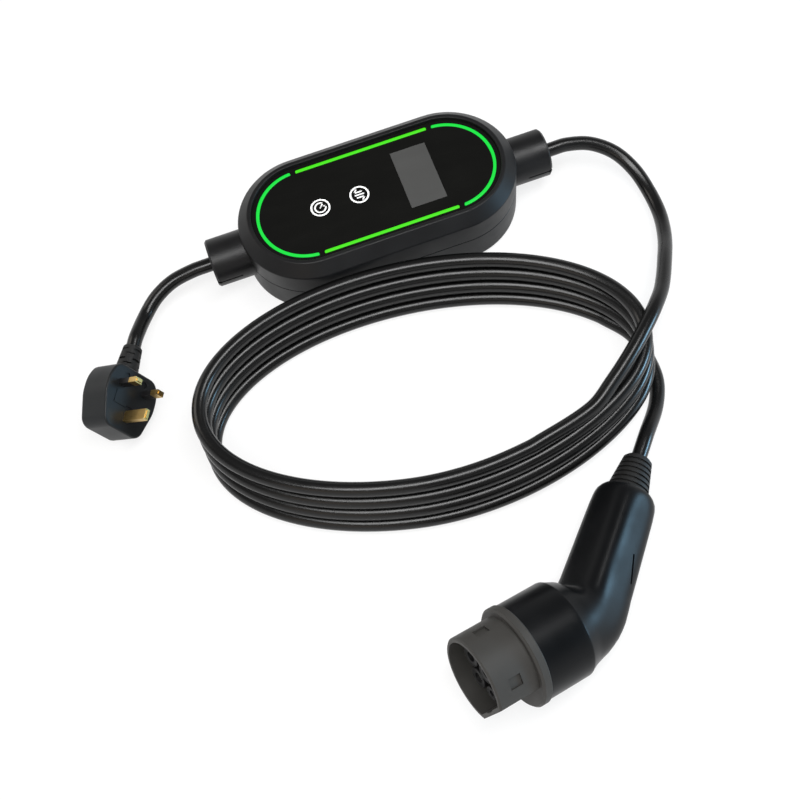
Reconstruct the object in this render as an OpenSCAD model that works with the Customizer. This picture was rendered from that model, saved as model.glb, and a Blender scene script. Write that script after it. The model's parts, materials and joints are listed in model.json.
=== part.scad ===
// Portable EV charger: control box, fused mains plug, coiled vehicle cable and vehicle connector.
// Millimetres, +Z up, the box lies on its back at the origin with the vehicle cable on its +X end.

/* [Control box] */
// Length of the box over its round ends
box_length = 218; // [190:1:250]
// Width of the box, twice the radius of its round ends
box_width = 108; // [98:1:124]
// Height of the box lying on its back
box_height = 56; // [50:1:70]
// Thickness of the side walls
wall = 4; // [3:0.5:5]
// Thickness of the rear floor
floor_thickness = 3; // [2:0.5:4]
// Width and height of the sloping bezel band
bezel = 8.5; // [6:0.5:11]
// Level rim between the bezel band and the face panel
rim = 3; // [2:0.5:5]
// Depth of the face panel below the rim
recess = 2.5; // [1.5:0.5:4]
// Diameter of the housing screws
screw_d = 3.5; // [3:0.5:4]

/* [Face] */
// Thickness of the face panel
panel_thickness = 2.5; // [2:0.5:4]
// Distance of the light line from the edge of the panel
light_inset = 4.8; // [3.5:0.1:7]
// Width of the light line
light_width = 2.8; // [2:0.1:4]
// Length of the gaps between the light pieces
light_gap = 3.7; // [2:0.1:6]
// Display window along the box
screen_length = 28; // [20:1:34]
// Display window across the box
screen_width = 52; // [40:1:56]
// Middle of the display window from the middle of the box
screen_x = 33.5; // [24:0.5:36]

/* [Cable and glands] */
// Outer diameter of both cables
cable_d = 11; // [9:0.5:13]
// Outer diameter of the gland sleeves
gland_d = 37; // [34:1:38]
// Length of the gland sleeves
gland_length = 26; // [22:1:34]
// Slit along a gland sleeve
gland_slit = 1.4; // [1:0.1:2.5]

/* [Coil] */
// Half of the coil's length, to the middle of the cable
coil_a = 162; // [150:1:180]
// Half of the coil's width, to the middle of the cable
coil_b = 85; // [84:1:95]
// Turns in the coil
coil_turns = 4; // [3:1:5]
// Sideways step of each turn below the top one
coil_lean = 5; // [3:0.5:6]

/* [Plug] */
// Length of the plug body along the cable
plug_length = 48; // [46:1:56]
// Width of the plug body across the line and neutral pins
plug_width = 48; // [46:1:56]
// Depth of the plug body behind the pin face
plug_depth = 27; // [25:1:32]

/* [Connector] */
// Outer diameter of the nose shroud
nose_d = 60; // [58:1:66]
// Length of the nose shroud ahead of its flange
nose_length = 30; // [26:1:36]
// Diameter of the flange behind the nose
flange_d = 70; // [68:1:76]
// Diameter of the body behind the flange
hood_d = 68; // [66:1:72]
// Diameter of the elbow
elbow_d = 50; // [46:1:52]
// Length of the handle from the elbow
handle_length = 92; // [84:1:120]
// Angle between the nose and the line of the handle
bend = 38; // [30:1:45]
// Length of the ribbed boot outside the handle
boot_length = 28; // [22:1:36]

/* [Hidden] */
$fn = 96;
fit = 0.1;
eps = 0.01;
near_black = [0.04, 0.04, 0.045];
soft_black = [0.07, 0.07, 0.075];
grey = [0.22, 0.22, 0.23];
rubber_black = [0.03, 0.03, 0.03];
light_green = [0.45, 0.95, 0.15];
pure_green = [0.1, 0.9, 0.2];
brass = [0.8, 0.62, 0.25];
silver = [0.78, 0.78, 0.8];
board_green = [0.05, 0.3, 0.15];

// Control box
end_r = box_width / 2;
straight = box_length - box_width;
parting_z = box_height / 2;
inner_r = end_r - wall;
edge = 4;
panel_r = end_r - bezel - rim - fit;
panel_top = box_height - recess;
panel_base = panel_top - panel_thickness;
ledge_width = 3.5;
ledge_thickness = 3;
ledge_r = panel_r - ledge_width;
ledge_base = panel_base - ledge_thickness;
seal_r = end_r - wall / 2;
seal_size = 1.6;
boss_r = screw_d / 2 + 3.2;
boss_reach = inner_r - boss_r - 1;
boss_angle = 60;
boss_x = straight / 2 + boss_reach * cos(boss_angle);
boss_y = boss_reach * sin(boss_angle);
screw_head_r = screw_d;
screw_head_h = 2.6;
screw_sink = 0.6;
light_r = panel_r - light_inset;
light_depth = 1.2;
window_depth = 1.2;
window_lip = 2;

// Boards and what is on them
board_thickness = 1.6;
board_screw_d = 3;
main_board_z = floor_thickness + 6;
main_board_length = straight + 8;
main_board_width = 1.52 * inner_r;
main_post = [main_board_length / 2 - 6, main_board_width / 2 - 6];
display_drop = 7;
display_board_z = ledge_base - display_drop;
display_board_length = straight + 26;
display_board_width = 2 * inner_r - 4;
display_post = [straight / 2 - 10, (ledge_r + inner_r) / 2];
module_top = panel_base;
module_margin = 1;
main_screw_length = 5;
display_screw_length = 6;
board_screw_head = 2;
relay_size = [30, 20, 18];
relay_place = [14, 15];
transformer_core = [24, 22, 16];
transformer_winding = [28, 14, 18];
transformer_place = [-22, 16];
sensor_r = 13;
sensor_bore_r = 7;
sensor_height = 12;
sensor_place = [-22, -14];
terminal_size = [10, 32, 14];
terminal_x = main_board_length / 2 - 12;
terminal_pitch = 10;
terminal_hole_r = 2.4;
terminal_hole_z = 6;

// Glands on the box ends
gland_x = box_length / 2 + 1;
gland_end = gland_x + gland_length;
gland_pad_x = box_length / 2 - wall - 6;
gland_flange_r = gland_d / 2 - 1.5;
gland_neck_r = gland_d / 2 - 5;
gland_spigot_r = gland_neck_r - 2;
gland_spigot_length = gland_length - 9;
gland_flange_t = 4;
gland_pad_half = gland_d / 2 + 1;
sleeve_seat_depth = 5;
sleeve_x = box_length / 2 - sleeve_seat_depth;
gland_seat = 3;
gland_slit_depth = 4;
gland_slit_start = 6;
cable_r = cable_d / 2;
cable_bore_r = cable_r + fit;
seal_outer_r = gland_spigot_r - 2.5;

// Coil: the top turn lies beside the box, the others lean towards the viewer
coil_turn = -8;
coil_gap = 1;
coil_reach = sqrt(pow(coil_a * sin(coil_turn), 2) + pow(coil_b * cos(coil_turn), 2));
coil_back = 153;
coil_top = [gland_end - coil_back, -(end_r + coil_gap + cable_r + coil_reach)];
coil_shift = coil_lean * (coil_turns - 1);
coil_height = coil_turns * cable_d;

// Routes: [x, y, height of the underside]; the first is from the gland's end, the others from the coil
outlet_points = [
    [19, 0, 21.8], [37, -4, 18.5], [53, -15, 13], [63, -32, 7], [67, -53, 3],
    [66, -75, 4], [59, -98, 11], [48, -120, 22]
];
outlet_climb = [
    [185, 0, 34], [171, -17, 42], [158, -30, 44.5], [141, -45, 44.5], [121, -60, 43], [100, -73, 40]
];
exit_points = [
    [159, 2, 0], [162, -18, 0], [161, -39, 0], [152, -58, 2]
];
mains_points = [
    [16, 0, 21.8], [33, -2, 19.5], [48, -9, 17], [60, -20, 15]
];

// Plug, in its own frame: pins along +Z, cable along +X, pin face at zero
pin_pitch = 22.23;
pin_clear = 0.05;
line_pin_size = [4, 6.35, 17.7];
earth_pin_size = [7.95, 4, 22.7];
pin_root = 9;
sleeve_length = 9.5;
sleeve_t = 0.5;
fuse_d = 6.3;
fuse_length = 25.4;
carrier_size = [9.6, 29, 11];
carrier_proud = 0.4;
carrier_clear = 0.15;
plug_front = plug_length / 2 + 1;
plug_back = plug_front - plug_length;
plug_cable_z = -plug_depth + 13;
plug_corner = 9;
plug_cheek_r = 26;
plug_cheek = [12, 24];
plug_front_share = 0.8;
plug_back_share = 0.7;
plug_boot_length = 22;
plug_boot_r = cable_r + 3.2;
plug_boot_root = 8;
plug_boot_end = plug_front + plug_boot_length;
plug_roll = 60;
plug_yaw = 61;
plug_inset = 2;
plug_shoulder = 3;
plug_rest = max(
    (plug_width / 2 - plug_inset) * sin(plug_roll) + (plug_depth + plug_cable_z) * cos(plug_roll),
    plug_width / 2 * sin(plug_roll) + (plug_depth - plug_shoulder + plug_cable_z) * cos(plug_roll)
);
plug_reach = [75, 46];
plug_entry = [-(gland_end + plug_reach[0]), -plug_reach[1]];
plug_lead_straight = 8;

// Connector, in its own frame: handle along +X from the elbow, nose in the XY plane at 180 - bend
elbow_r = elbow_d / 2;
handle_r = elbow_r - 1.5;
handle_end_r = elbow_r - 4.5;
handle_flat = elbow_r - 5;
handle_bore_r = handle_end_r - 3;
handle_cap = 6;
hood_r = hood_d / 2;
hood_wall = 3;
hood_length = 55;
hood_edge = 20;
hood_bevel = 1.5;
flange_r = flange_d / 2;
flange_t = 7;
nose_r = nose_d / 2;
nose_wall = 3;
nose_bore_r = nose_r - nose_wall;
nose_flat = nose_r - 6;
nose_front = hood_length + flange_t + nose_length;
nose_spigot_r = hood_r - hood_wall - fit;
nose_spigot = 10;
nose_lip = 3;
insert_back = hood_length - nose_spigot + nose_lip;
insert_face = hood_length + flange_t + 8;
sleeve_front = nose_front - 10;
power_sleeve_r = 7.2;
signal_sleeve_r = 5;
power_contact_r = 4.5;
power_bore_r = 3.05;
signal_contact_r = 2.6;
signal_bore_r = 1.55;
guard = 2;
earth_place = [0, 0];
power_places = [[0, 16], [0, -16]];
spare_places = [[-14, 9], [-14, -9]];
signal_places = [[12.5, 8.5], [12.5, -8.5]];
window_size = [9, 7.5];
window_depth_nose = 1.8;
window_back = 19.5;
window_angles = [64, 144, -64, -144];
boot_root_r = cable_r + 9.5;
boot_tip_r = cable_r + 4.5;
boot_neck_r = handle_end_r - 8;
boot_ribs = 7;
boot_flange_r = handle_bore_r - 1;
boot_flange_t = 5;
boot_end = handle_length + boot_length;
cap_face = handle_length - handle_cap;
clamp_length = 10;
clamp_x = cap_face - 20;
seam_turn = 25;
rest_clear = 0.3;
connector_yaw = 50;
connector_pitch = 4.7;
connector_roll = 17;
nose_rise = cos(bend) * sin(connector_pitch) + sin(bend) * sin(connector_roll) * cos(connector_pitch);
function rim_lift(radius, x) = radius * sqrt(1 - nose_rise * nose_rise) - x * nose_rise;
connector_lift = max(
    elbow_r, rim_lift(flange_r, hood_length), rim_lift(hood_r, hood_edge),
    handle_end_r + handle_length * sin(connector_pitch)
);
connector_reach = [44, 187];
connector_lead_straight = 20;
connector_place = [
    coil_top[0] + connector_reach[0],
    coil_top[1] - coil_shift - connector_reach[1],
    connector_lift + rest_clear
];

function turn_x(v, a) = [v[0], v[1] * cos(a) - v[2] * sin(a), v[1] * sin(a) + v[2] * cos(a)];
function turn_y(v, a) = [v[0] * cos(a) + v[2] * sin(a), v[1], -v[0] * sin(a) + v[2] * cos(a)];
function turn_z(v, a) = [v[0] * cos(a) - v[1] * sin(a), v[0] * sin(a) + v[1] * cos(a), v[2]];
function at_connector(v) = connector_place
    + turn_z(turn_y(turn_x(v, connector_roll), connector_pitch), connector_yaw);
function plug_local(v) = turn_z(turn_x(v, plug_roll), plug_yaw);
plug_place = [plug_entry[0], plug_entry[1], plug_rest]
    - plug_local([plug_boot_end, 0, plug_cable_z]);
function at_plug(v) = plug_place + plug_local(v);
function lift(p) = [p[0], p[1], p[2] + cable_r];
function from_coil(p) = lift([coil_top[0] + p[0], coil_top[1] + p[1], p[2]]);

outlet_route = concat(
    [[gland_pad_x, 0, parting_z], [gland_end + 6, 0, parting_z]],
    [for (p = outlet_points) lift([gland_end + p[0], p[1], p[2]])],
    [for (p = outlet_climb) from_coil(p)]
);
connector_route = concat(
    [for (p = exit_points) from_coil([p[0], p[1] - coil_shift, p[2]])],
    [for (x = [boot_end + connector_lead_straight, boot_end, handle_length, clamp_x])
        at_connector([x, 0, 0])]
);
mains_route = concat(
    [[-gland_pad_x, 0, parting_z], [-gland_end - 4, 0, parting_z]],
    [for (p = mains_points) lift([-gland_end - p[0], p[1], p[2]])],
    [for (x = [plug_boot_end + plug_lead_straight, plug_boot_end, plug_front - plug_boot_root])
        at_plug([x, 0, plug_cable_z])]
);

// A box-shaped solid with round ends, from a half section of [radius, height] points
module capsule(section) {
    for (side = [-1, 1]) {
        translate([side * straight / 2, 0, 0])
            rotate([0, 0, -90 * side])
                rotate_extrude(angle = 180)
                    polygon(section);
        mirror([0, side < 0 ? 1 : 0, 0])
            translate([-straight / 2, 0, 0])
                rotate([90, 0, 90])
                    linear_extrude(height = straight)
                        polygon(section);
    }
}

// A flat plate with round ends
module capsule_plate(radius, base, height) {
    translate([0, 0, base])
        linear_extrude(height = height)
            capsule_outline(radius);
}

module capsule_outline(radius) {
    square([straight, 2 * radius], center = true);
    for (side = [-1, 1])
        translate([side * straight / 2, 0])
            circle(radius);
}

// A turned solid along +X, from [radius, place] points
module turned(section) {
    rotate([90, 0, 90])
        rotate_extrude()
            polygon(section);
}

// A plain rod along +X
module rod(radius, from, to) {
    translate([from, 0, 0])
        rotate([0, 90, 0])
            cylinder(r = radius, h = to - from);
}

// Copies at the four corners of a rectangle
module corners(half) {
    for (x = [-1, 1], y = [-1, 1])
        translate([x * half[0], y * half[1], 0])
            children();
}

// The same thing at either end of the box
module on_side(side) {
    mirror([side < 0 ? 1 : 0, 0, 0])
        translate([0, 0, parting_z])
            children();
}

// A round cable along a list of points
module cable(route, sides = 12) {
    count = len(route);
    function along(i) = route[min(i + 1, count - 1)] - route[max(i - 1, 0)];
    function unit(v) = v / norm(v);
    function across(i) = unit(cross([0, 0, 1], along(i)));
    function above(i) = unit(cross(along(i), across(i)));
    ring_points = [
        for (i = [0 : count - 1], k = [0 : sides - 1])
            route[i] + cable_r * (cos(360 * k / sides) * across(i) + sin(360 * k / sides) * above(i))
    ];
    side_faces = [
        for (i = [0 : count - 2], k = [0 : sides - 1])
            let (n = (k + 1) % sides)
                [i * sides + k, i * sides + n, (i + 1) * sides + n, (i + 1) * sides + k]
    ];
    start_face = [[for (k = [sides - 1 : -1 : 0]) k]];
    end_face = [[for (k = [0 : sides - 1]) (count - 1) * sides + k]];
    polyhedron(points = ring_points, faces = concat(side_faces, start_face, end_face));
}

module seal_groove() {
    size = seal_size / 2 + fit;
    capsule([
        [seal_r - size, parting_z - size], [seal_r + size, parting_z - size],
        [seal_r + size, parting_z + size], [seal_r - size, parting_z + size]
    ]);
}

// Flat pads inside the round ends, which the gland flanges pull against
module gland_pads(base, top) {
    low = max(base, parting_z - gland_pad_half);
    high = min(top, parting_z + gland_pad_half);
    intersection() {
        capsule_plate(seal_r, low - 1, high - low + 2);
        for (side = [-1, 1])
            translate([side > 0 ? gland_pad_x : -box_length / 2, -gland_pad_half, low])
                cube([box_length / 2 - gland_pad_x, 2 * gland_pad_half, high - low]);
    }
}

module gland_holes(clear) {
    for (side = [-1, 1])
        on_side(side) {
            rod(gland_neck_r + clear, gland_pad_x - gland_flange_t, gland_end);
            rod(gland_d / 2 + clear, sleeve_x, gland_end);
        }
}

module rear_housing() {
    color(soft_black)
        difference() {
            union() {
                capsule([
                    [0, 0], [end_r - edge, 0], [end_r - edge * 0.3, edge * 0.3], [end_r, edge],
                    [end_r, parting_z], [inner_r, parting_z], [inner_r, floor_thickness], [0, floor_thickness]
                ]);
                gland_pads(floor_thickness - eps, parting_z);
                corners([boss_x, boss_y])
                    translate([0, 0, floor_thickness - eps])
                        cylinder(r = boss_r, h = parting_z - floor_thickness + eps);
                corners(main_post)
                    translate([0, 0, floor_thickness - eps])
                        cylinder(r = board_screw_d / 2 + 2, h = main_board_z - floor_thickness + eps);
            }
            seal_groove();
            gland_holes(fit);
            corners([boss_x, boss_y]) {
                translate([0, 0, -eps])
                    cylinder(r = screw_head_r + fit, h = screw_sink + screw_head_h + fit + eps);
                cylinder(r = screw_d / 2 + fit, h = box_height);
            }
            corners(main_post)
                translate([0, 0, floor_thickness])
                    cylinder(r = board_screw_d / 2 + fit / 2, h = box_height);
        }
}

module front_housing() {
    color(soft_black)
        difference() {
            union() {
                capsule([
                    [end_r, parting_z], [end_r, box_height - bezel], [end_r - bezel, box_height],
                    [panel_r + fit, box_height], [panel_r + fit, panel_base], [ledge_r, panel_base],
                    [ledge_r, ledge_base], [inner_r, ledge_base], [inner_r, parting_z]
                ]);
                gland_pads(parting_z, ledge_base + eps);
                corners([boss_x, boss_y])
                    translate([0, 0, parting_z])
                        cylinder(r = boss_r, h = ledge_base - parting_z + eps);
                corners(display_post)
                    translate([0, 0, display_board_z + board_thickness])
                        cylinder(r = board_screw_d / 2 + 2, h = display_drop - board_thickness + eps);
            }
            seal_groove();
            gland_holes(fit);
            corners([boss_x, boss_y])
                translate([0, 0, parting_z - eps])
                    cylinder(r = screw_d / 2 + fit / 2, h = 14);
            corners(display_post)
                translate([0, 0, display_board_z])
                    cylinder(r = board_screw_d / 2 + fit / 2, h = ledge_base - display_board_z + 1);
        }
}

module housing_seal() {
    size = seal_size / 2;
    color(rubber_black)
        difference() {
            capsule([
                [seal_r - size, parting_z - size], [seal_r + size, parting_z - size],
                [seal_r + size, parting_z + size], [seal_r - size, parting_z + size]
            ]);
            gland_holes(2 * fit);
        }
}

module housing_screws() {
    shank = parting_z + 12;
    color(silver)
        corners([boss_x, boss_y])
            translate([0, 0, screw_sink])
                difference() {
                    union() {
                        cylinder(r = screw_head_r, h = screw_head_h);
                        cylinder(r = screw_d / 2, h = shank);
                    }
                    translate([0, 0, -eps])
                        cylinder(r = screw_d * 0.45, h = 1.5, $fn = 6);
                }
}

// The line of light, as a ring that two straight pieces and two arcs share
module light_outline(width, arcs) {
    cut = straight / 2 - light_gap / 2;
    intersection() {
        difference() {
            capsule_outline(light_r + width / 2);
            capsule_outline(light_r - width / 2);
        }
        if (arcs)
            for (side = [-1, 1])
                translate([side * (cut + light_gap + box_length / 2), 0])
                    square([box_length, box_width], center = true);
        else
            square([2 * cut, box_width], center = true);
    }
}

module face_panel() {
    color(near_black)
        difference() {
            capsule_plate(panel_r, panel_base, panel_thickness);
            translate([0, 0, panel_top - light_depth])
                linear_extrude(height = light_depth + 1) {
                    light_outline(light_width + 2 * fit, true);
                    light_outline(light_width + 2 * fit, false);
                }
            translate([screen_x, 0, panel_top - window_depth / 2])
                cube([screen_length + 2 * fit, screen_width + 2 * fit, window_depth + eps], center = true);
            translate([screen_x, 0, panel_base])
                cube(
                    [screen_length - 2 * window_lip, screen_width - 2 * window_lip, 2 * panel_thickness],
                    center = true
                );
        }
}

module light_bars() {
    color(light_green)
        translate([0, 0, panel_top - light_depth])
            linear_extrude(height = light_depth)
                light_outline(light_width, false);
}

module light_arcs() {
    color(pure_green)
        translate([0, 0, panel_top - light_depth])
            linear_extrude(height = light_depth)
                light_outline(light_width, true);
}

module display_window() {
    color(grey)
        translate([screen_x, 0, panel_top - window_depth / 2])
            cube([screen_length, screen_width, window_depth], center = true);
}

module display_module() {
    base = display_board_z + board_thickness;
    color(soft_black)
        translate([screen_x, 0, (base + module_top) / 2])
            cube(
                [screen_length + 2 * module_margin, screen_width + 2 * module_margin, module_top - base],
                center = true
            );
}

module display_board() {
    color(board_green)
        difference() {
            translate([0, 0, display_board_z + board_thickness / 2])
                cube([display_board_length, display_board_width, board_thickness], center = true);
            corners(display_post)
                translate([0, 0, display_board_z - 1])
                    cylinder(r = board_screw_d / 2 + fit, h = board_thickness + 2);
            corners([boss_x, boss_y])
                translate([0, 0, display_board_z - 1])
                    cylinder(r = boss_r + 1, h = board_thickness + 2);
        }
}

module board_screw(length) {
    cylinder(r = board_screw_d / 2, h = length);
    translate([0, 0, length])
        cylinder(r = board_screw_d, h = board_screw_head);
}

module display_screws() {
    color(silver)
        corners(display_post)
            translate([0, 0, display_board_z])
                mirror([0, 0, 1])
                    translate([0, 0, -display_screw_length])
                        board_screw(display_screw_length);
}

module main_board() {
    color(board_green)
        difference() {
            translate([0, 0, main_board_z + board_thickness / 2])
                cube([main_board_length, main_board_width, board_thickness], center = true);
            corners(main_post)
                translate([0, 0, main_board_z - 1])
                    cylinder(r = board_screw_d / 2 + fit, h = board_thickness + 2);
            corners([boss_x, boss_y])
                translate([0, 0, main_board_z - 1])
                    cylinder(r = boss_r + 1, h = board_thickness + 2);
        }
}

module board_screws() {
    color(silver)
        corners(main_post)
            translate([0, 0, main_board_z + board_thickness - main_screw_length])
                board_screw(main_screw_length);
}

// A block standing on the main board
module on_main_board(place, size) {
    translate([place[0] - size[0] / 2, place[1] - size[1] / 2, main_board_z + board_thickness])
        cube(size);
}

module relays() {
    color(near_black)
        for (side = [-1, 1])
            on_main_board([relay_place[0], side * relay_place[1]], relay_size);
}

module transformer() {
    color(soft_black) {
        on_main_board(transformer_place, transformer_core);
        on_main_board(transformer_place, transformer_winding);
    }
}

module leakage_sensor() {
    color(near_black)
        translate([sensor_place[0], sensor_place[1], main_board_z + board_thickness])
            difference() {
                cylinder(r = sensor_r, h = sensor_height);
                translate([0, 0, -1])
                    cylinder(r = sensor_bore_r, h = sensor_height + 2);
            }
}

module terminal_blocks() {
    color(grey)
        for (side = [0, 1])
            mirror([side, 0, 0])
                difference() {
                    on_main_board([terminal_x, 0], terminal_size);
                    for (y = [-1, 0, 1])
                        translate([0, y * terminal_pitch, main_board_z + board_thickness + terminal_hole_z])
                            rod(terminal_hole_r, terminal_x, terminal_x + terminal_size[0]);
                }
}

module gland(side) {
    color(soft_black)
        on_side(side)
            turned([
                [cable_bore_r, gland_pad_x - gland_flange_t], [gland_flange_r, gland_pad_x - gland_flange_t],
                [gland_flange_r, gland_pad_x], [gland_neck_r, gland_pad_x], [gland_neck_r, gland_x],
                [gland_spigot_r, gland_x], [gland_spigot_r, gland_x + gland_spigot_length],
                [seal_outer_r, gland_x + gland_spigot_length], [seal_outer_r, gland_x + gland_seat],
                [cable_bore_r, gland_x + gland_seat]
            ]);
}

module gland_sleeve(side) {
    end_bore = gland_x + gland_spigot_length + fit;
    bevel = 1.5;
    outer_r = gland_d / 2;
    color(near_black)
        on_side(side)
            difference() {
                turned([
                    [gland_neck_r + fit, sleeve_x + fit], [outer_r, sleeve_x + fit],
                    [outer_r, gland_end - bevel], [outer_r - bevel, gland_end],
                    [cable_bore_r, gland_end], [cable_bore_r, end_bore],
                    [gland_spigot_r + fit, end_bore], [gland_spigot_r + fit, gland_x],
                    [gland_neck_r + fit, gland_x]
                ]);
                translate([gland_x + gland_slit_start, -outer_r - eps, -gland_slit / 2])
                    cube([gland_length, gland_slit_depth, gland_slit]);
                translate([gland_end - gland_seat, -outer_r, -gland_slit])
                    cube([gland_slit_depth, outer_r - cable_r, 2 * gland_slit]);
            }
}

module gland_seal(side) {
    color(rubber_black)
        on_side(side)
            turned([
                [cable_bore_r, gland_x + gland_seat + fit], [seal_outer_r - fit, gland_x + gland_seat + fit],
                [seal_outer_r - fit, gland_x + gland_spigot_length],
                [cable_bore_r, gland_x + gland_spigot_length]
            ]);
}

module in_plug() {
    translate(plug_place)
        rotate([plug_roll, 0, plug_yaw])
            children();
}

// A closed outline with a round corner at each point
function round_corner(before, point, after, radius, steps = 5) =
    let (
        a = (before - point) / norm(before - point),
        b = (after - point) / norm(after - point),
        half = acos(a * b) / 2,
        middle = point + (a + b) / norm(a + b) * radius / sin(half),
        from = point + a * radius / tan(half) - middle,
        to = point + b * radius / tan(half) - middle,
        turn = (180 - 2 * half) * sign(from[0] * to[1] - from[1] * to[0])
    )
    [for (i = [0 : steps])
        let (t = turn * i / steps)
            middle + [from[0] * cos(t) - from[1] * sin(t), from[0] * sin(t) + from[1] * cos(t)]];

function round_outline(points, radii) =
    let (n = len(points))
    [for (i = [0 : n - 1])
        each round_corner(points[(i + n - 1) % n], points[i], points[(i + 1) % n], radii[i])];

function plug_outline(inset) =
    let (
        w = plug_width / 2 - inset,
        front = plug_front - inset,
        back = plug_back + inset,
        front_w = w * plug_front_share,
        back_w = w * plug_back_share,
        near = plug_front - plug_cheek[0],
        far = plug_front - plug_cheek[1],
        tight = plug_corner - inset,
        wide = plug_cheek_r - inset
    )
    round_outline(
        [[front, -front_w], [front, front_w], [near, w], [far, w],
         [back, back_w], [back, -back_w], [far, -w], [near, -w]],
        [tight, tight, wide, wide, tight, tight, wide, wide]
    );

module pin_holes(clear) {
    for (side = [-1, 1])
        translate([pin_pitch / 2, side * pin_pitch / 2, -pin_root / 2])
            cube([line_pin_size[0] + clear, line_pin_size[1] + clear, pin_root + eps], center = true);
    translate([-pin_pitch / 2, 0, -pin_root / 2])
        cube([earth_pin_size[0] + clear, earth_pin_size[1] + clear, pin_root + eps], center = true);
}

module plug_body() {
    color(near_black)
        in_plug()
            difference() {
                union() {
                    translate([0, 0, -plug_depth + plug_shoulder])
                        linear_extrude(height = plug_depth - plug_shoulder - 1)
                            polygon(plug_outline(0));
                    translate([0, 0, -plug_depth])
                        linear_extrude(height = plug_depth)
                            polygon(plug_outline(plug_inset));
                }
                pin_holes(2 * pin_clear);
                translate([
                    -carrier_size[0] / 2 - carrier_clear, -carrier_size[1] / 2 - carrier_clear,
                    -carrier_size[2] - carrier_clear
                ])
                    cube([
                        carrier_size[0] + 2 * carrier_clear, carrier_size[1] + 2 * carrier_clear,
                        carrier_size[2] + 1
                    ]);
                translate([0, 0, plug_cable_z])
                    rod(plug_boot_r + fit, plug_front - plug_boot_root, plug_front + 1);
            }
}

module plug_boot() {
    color(rubber_black)
        in_plug()
            translate([0, 0, plug_cable_z])
                difference() {
                    turned([
                        [cable_bore_r, plug_front - plug_boot_root],
                        [plug_boot_r, plug_front - plug_boot_root],
                        [plug_boot_r, plug_front + 3], [cable_r + 1.6, plug_boot_end - 1],
                        [cable_r + 0.8, plug_boot_end], [cable_bore_r, plug_boot_end]
                    ]);
                    for (x = [plug_front + 5 : 4 : plug_boot_end - 4], turn = [0, 90])
                        rotate([turn + (x % 8 < 4 ? 0 : 45), 0, 0])
                            translate([x, cable_r + 0.6, -3.4])
                                cube([1.8, 6, 6.8]);
                }
}

module blade(place, size) {
    bevel = 1;
    color(brass)
        in_plug()
            translate([place[0], place[1], -pin_root]) {
                translate([-size[0] / 2, -size[1] / 2, 0])
                    cube([size[0], size[1], pin_root + size[2] - bevel]);
                translate([-size[0] / 2 + bevel, -size[1] / 2 + bevel, 0])
                    cube([size[0] - 2 * bevel, size[1] - 2 * bevel, pin_root + size[2]]);
            }
}

module line_pin() {
    difference() {
        blade([pin_pitch / 2, -pin_pitch / 2], line_pin_size);
        in_plug()
            sleeve_seat(-1, 0);
    }
}

module neutral_pin() {
    difference() {
        blade([pin_pitch / 2, pin_pitch / 2], line_pin_size);
        in_plug()
            sleeve_seat(1, 0);
    }
}

// The thin sleeve that covers the root of a pin, flush with its faces
module sleeve_seat(side, clear) {
    translate([pin_pitch / 2, side * pin_pitch / 2, sleeve_length / 2])
        difference() {
            cube([line_pin_size[0] + eps, line_pin_size[1] + eps, sleeve_length + eps], center = true);
            cube([
                line_pin_size[0] - 2 * sleeve_t + clear, line_pin_size[1] - 2 * sleeve_t + clear,
                sleeve_length + 1
            ], center = true);
        }
}

module earth_pin() {
    blade([-pin_pitch / 2, 0], earth_pin_size);
}

module pin_sleeves() {
    color(rubber_black)
        in_plug()
            for (side = [-1, 1])
                sleeve_seat(side, pin_clear);
}

module fuse() {
    cap = 6;
    color(silver)
        in_plug()
            translate([0, -fuse_length / 2, -carrier_size[2] + fuse_d / 2 + 1])
                rotate([-90, 0, 0]) {
                    cylinder(d = fuse_d, h = cap);
                    translate([0, 0, cap])
                        cylinder(d = fuse_d - 0.6, h = fuse_length - 2 * cap);
                    translate([0, 0, fuse_length - cap])
                        cylinder(d = fuse_d, h = cap);
                }
}

module fuse_carrier() {
    color(soft_black)
        in_plug()
            difference() {
                translate([-carrier_size[0] / 2, -carrier_size[1] / 2, -carrier_size[2]])
                    cube([carrier_size[0], carrier_size[1], carrier_size[2] + carrier_proud]);
                translate([0, -fuse_length / 2 - fit, -carrier_size[2] + fuse_d / 2 + 1])
                    rotate([-90, 0, 0])
                        cylinder(d = fuse_d + 2 * fit, h = fuse_length + 2 * fit);
                translate([-carrier_size[0] / 2 - 1, -3, carrier_proud - 0.8])
                    cube([2.6, 6, 2]);
            }
}

module in_connector() {
    translate(connector_place)
        rotate([connector_roll, connector_pitch, connector_yaw])
            children();
}

module in_nose() {
    in_connector()
        rotate([0, 0, 180 - bend])
            children();
}

// The outside of the connector's hood, its sloping shoulder and the elbow, or their hollow when shrunk
module hood_form(shrink, front) {
    start_r = elbow_r - 1.5;
    rotate([0, 0, 180 - bend])
        rotate([seam_turn, 0, 0])
            turned([
                [0, 0], [start_r - shrink, 0], [hood_r - hood_bevel - shrink, hood_edge - hood_bevel],
                [hood_r - shrink, hood_edge], [hood_r - shrink, front], [0, front]
            ]);
    rotate([0, 90, seam_turn])
        sphere(r = elbow_r - shrink);
}

// The tapered handle with four soft flats
module handle_form() {
    difference() {
        rotate([seam_turn, 0, 0])
            turned([
                [0, 0], [elbow_r - 1, 0], [handle_r, handle_length * 0.3], [handle_end_r, handle_length - 3],
                [handle_end_r - 2.5, handle_length], [0, handle_length]
            ]);
        for (a = [45 : 90 : 315])
            rotate([a, 0, 0])
                translate([-handle_length, handle_flat, -elbow_r])
                    cube([3 * handle_length, elbow_r, 2 * elbow_r]);
    }
}

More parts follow.
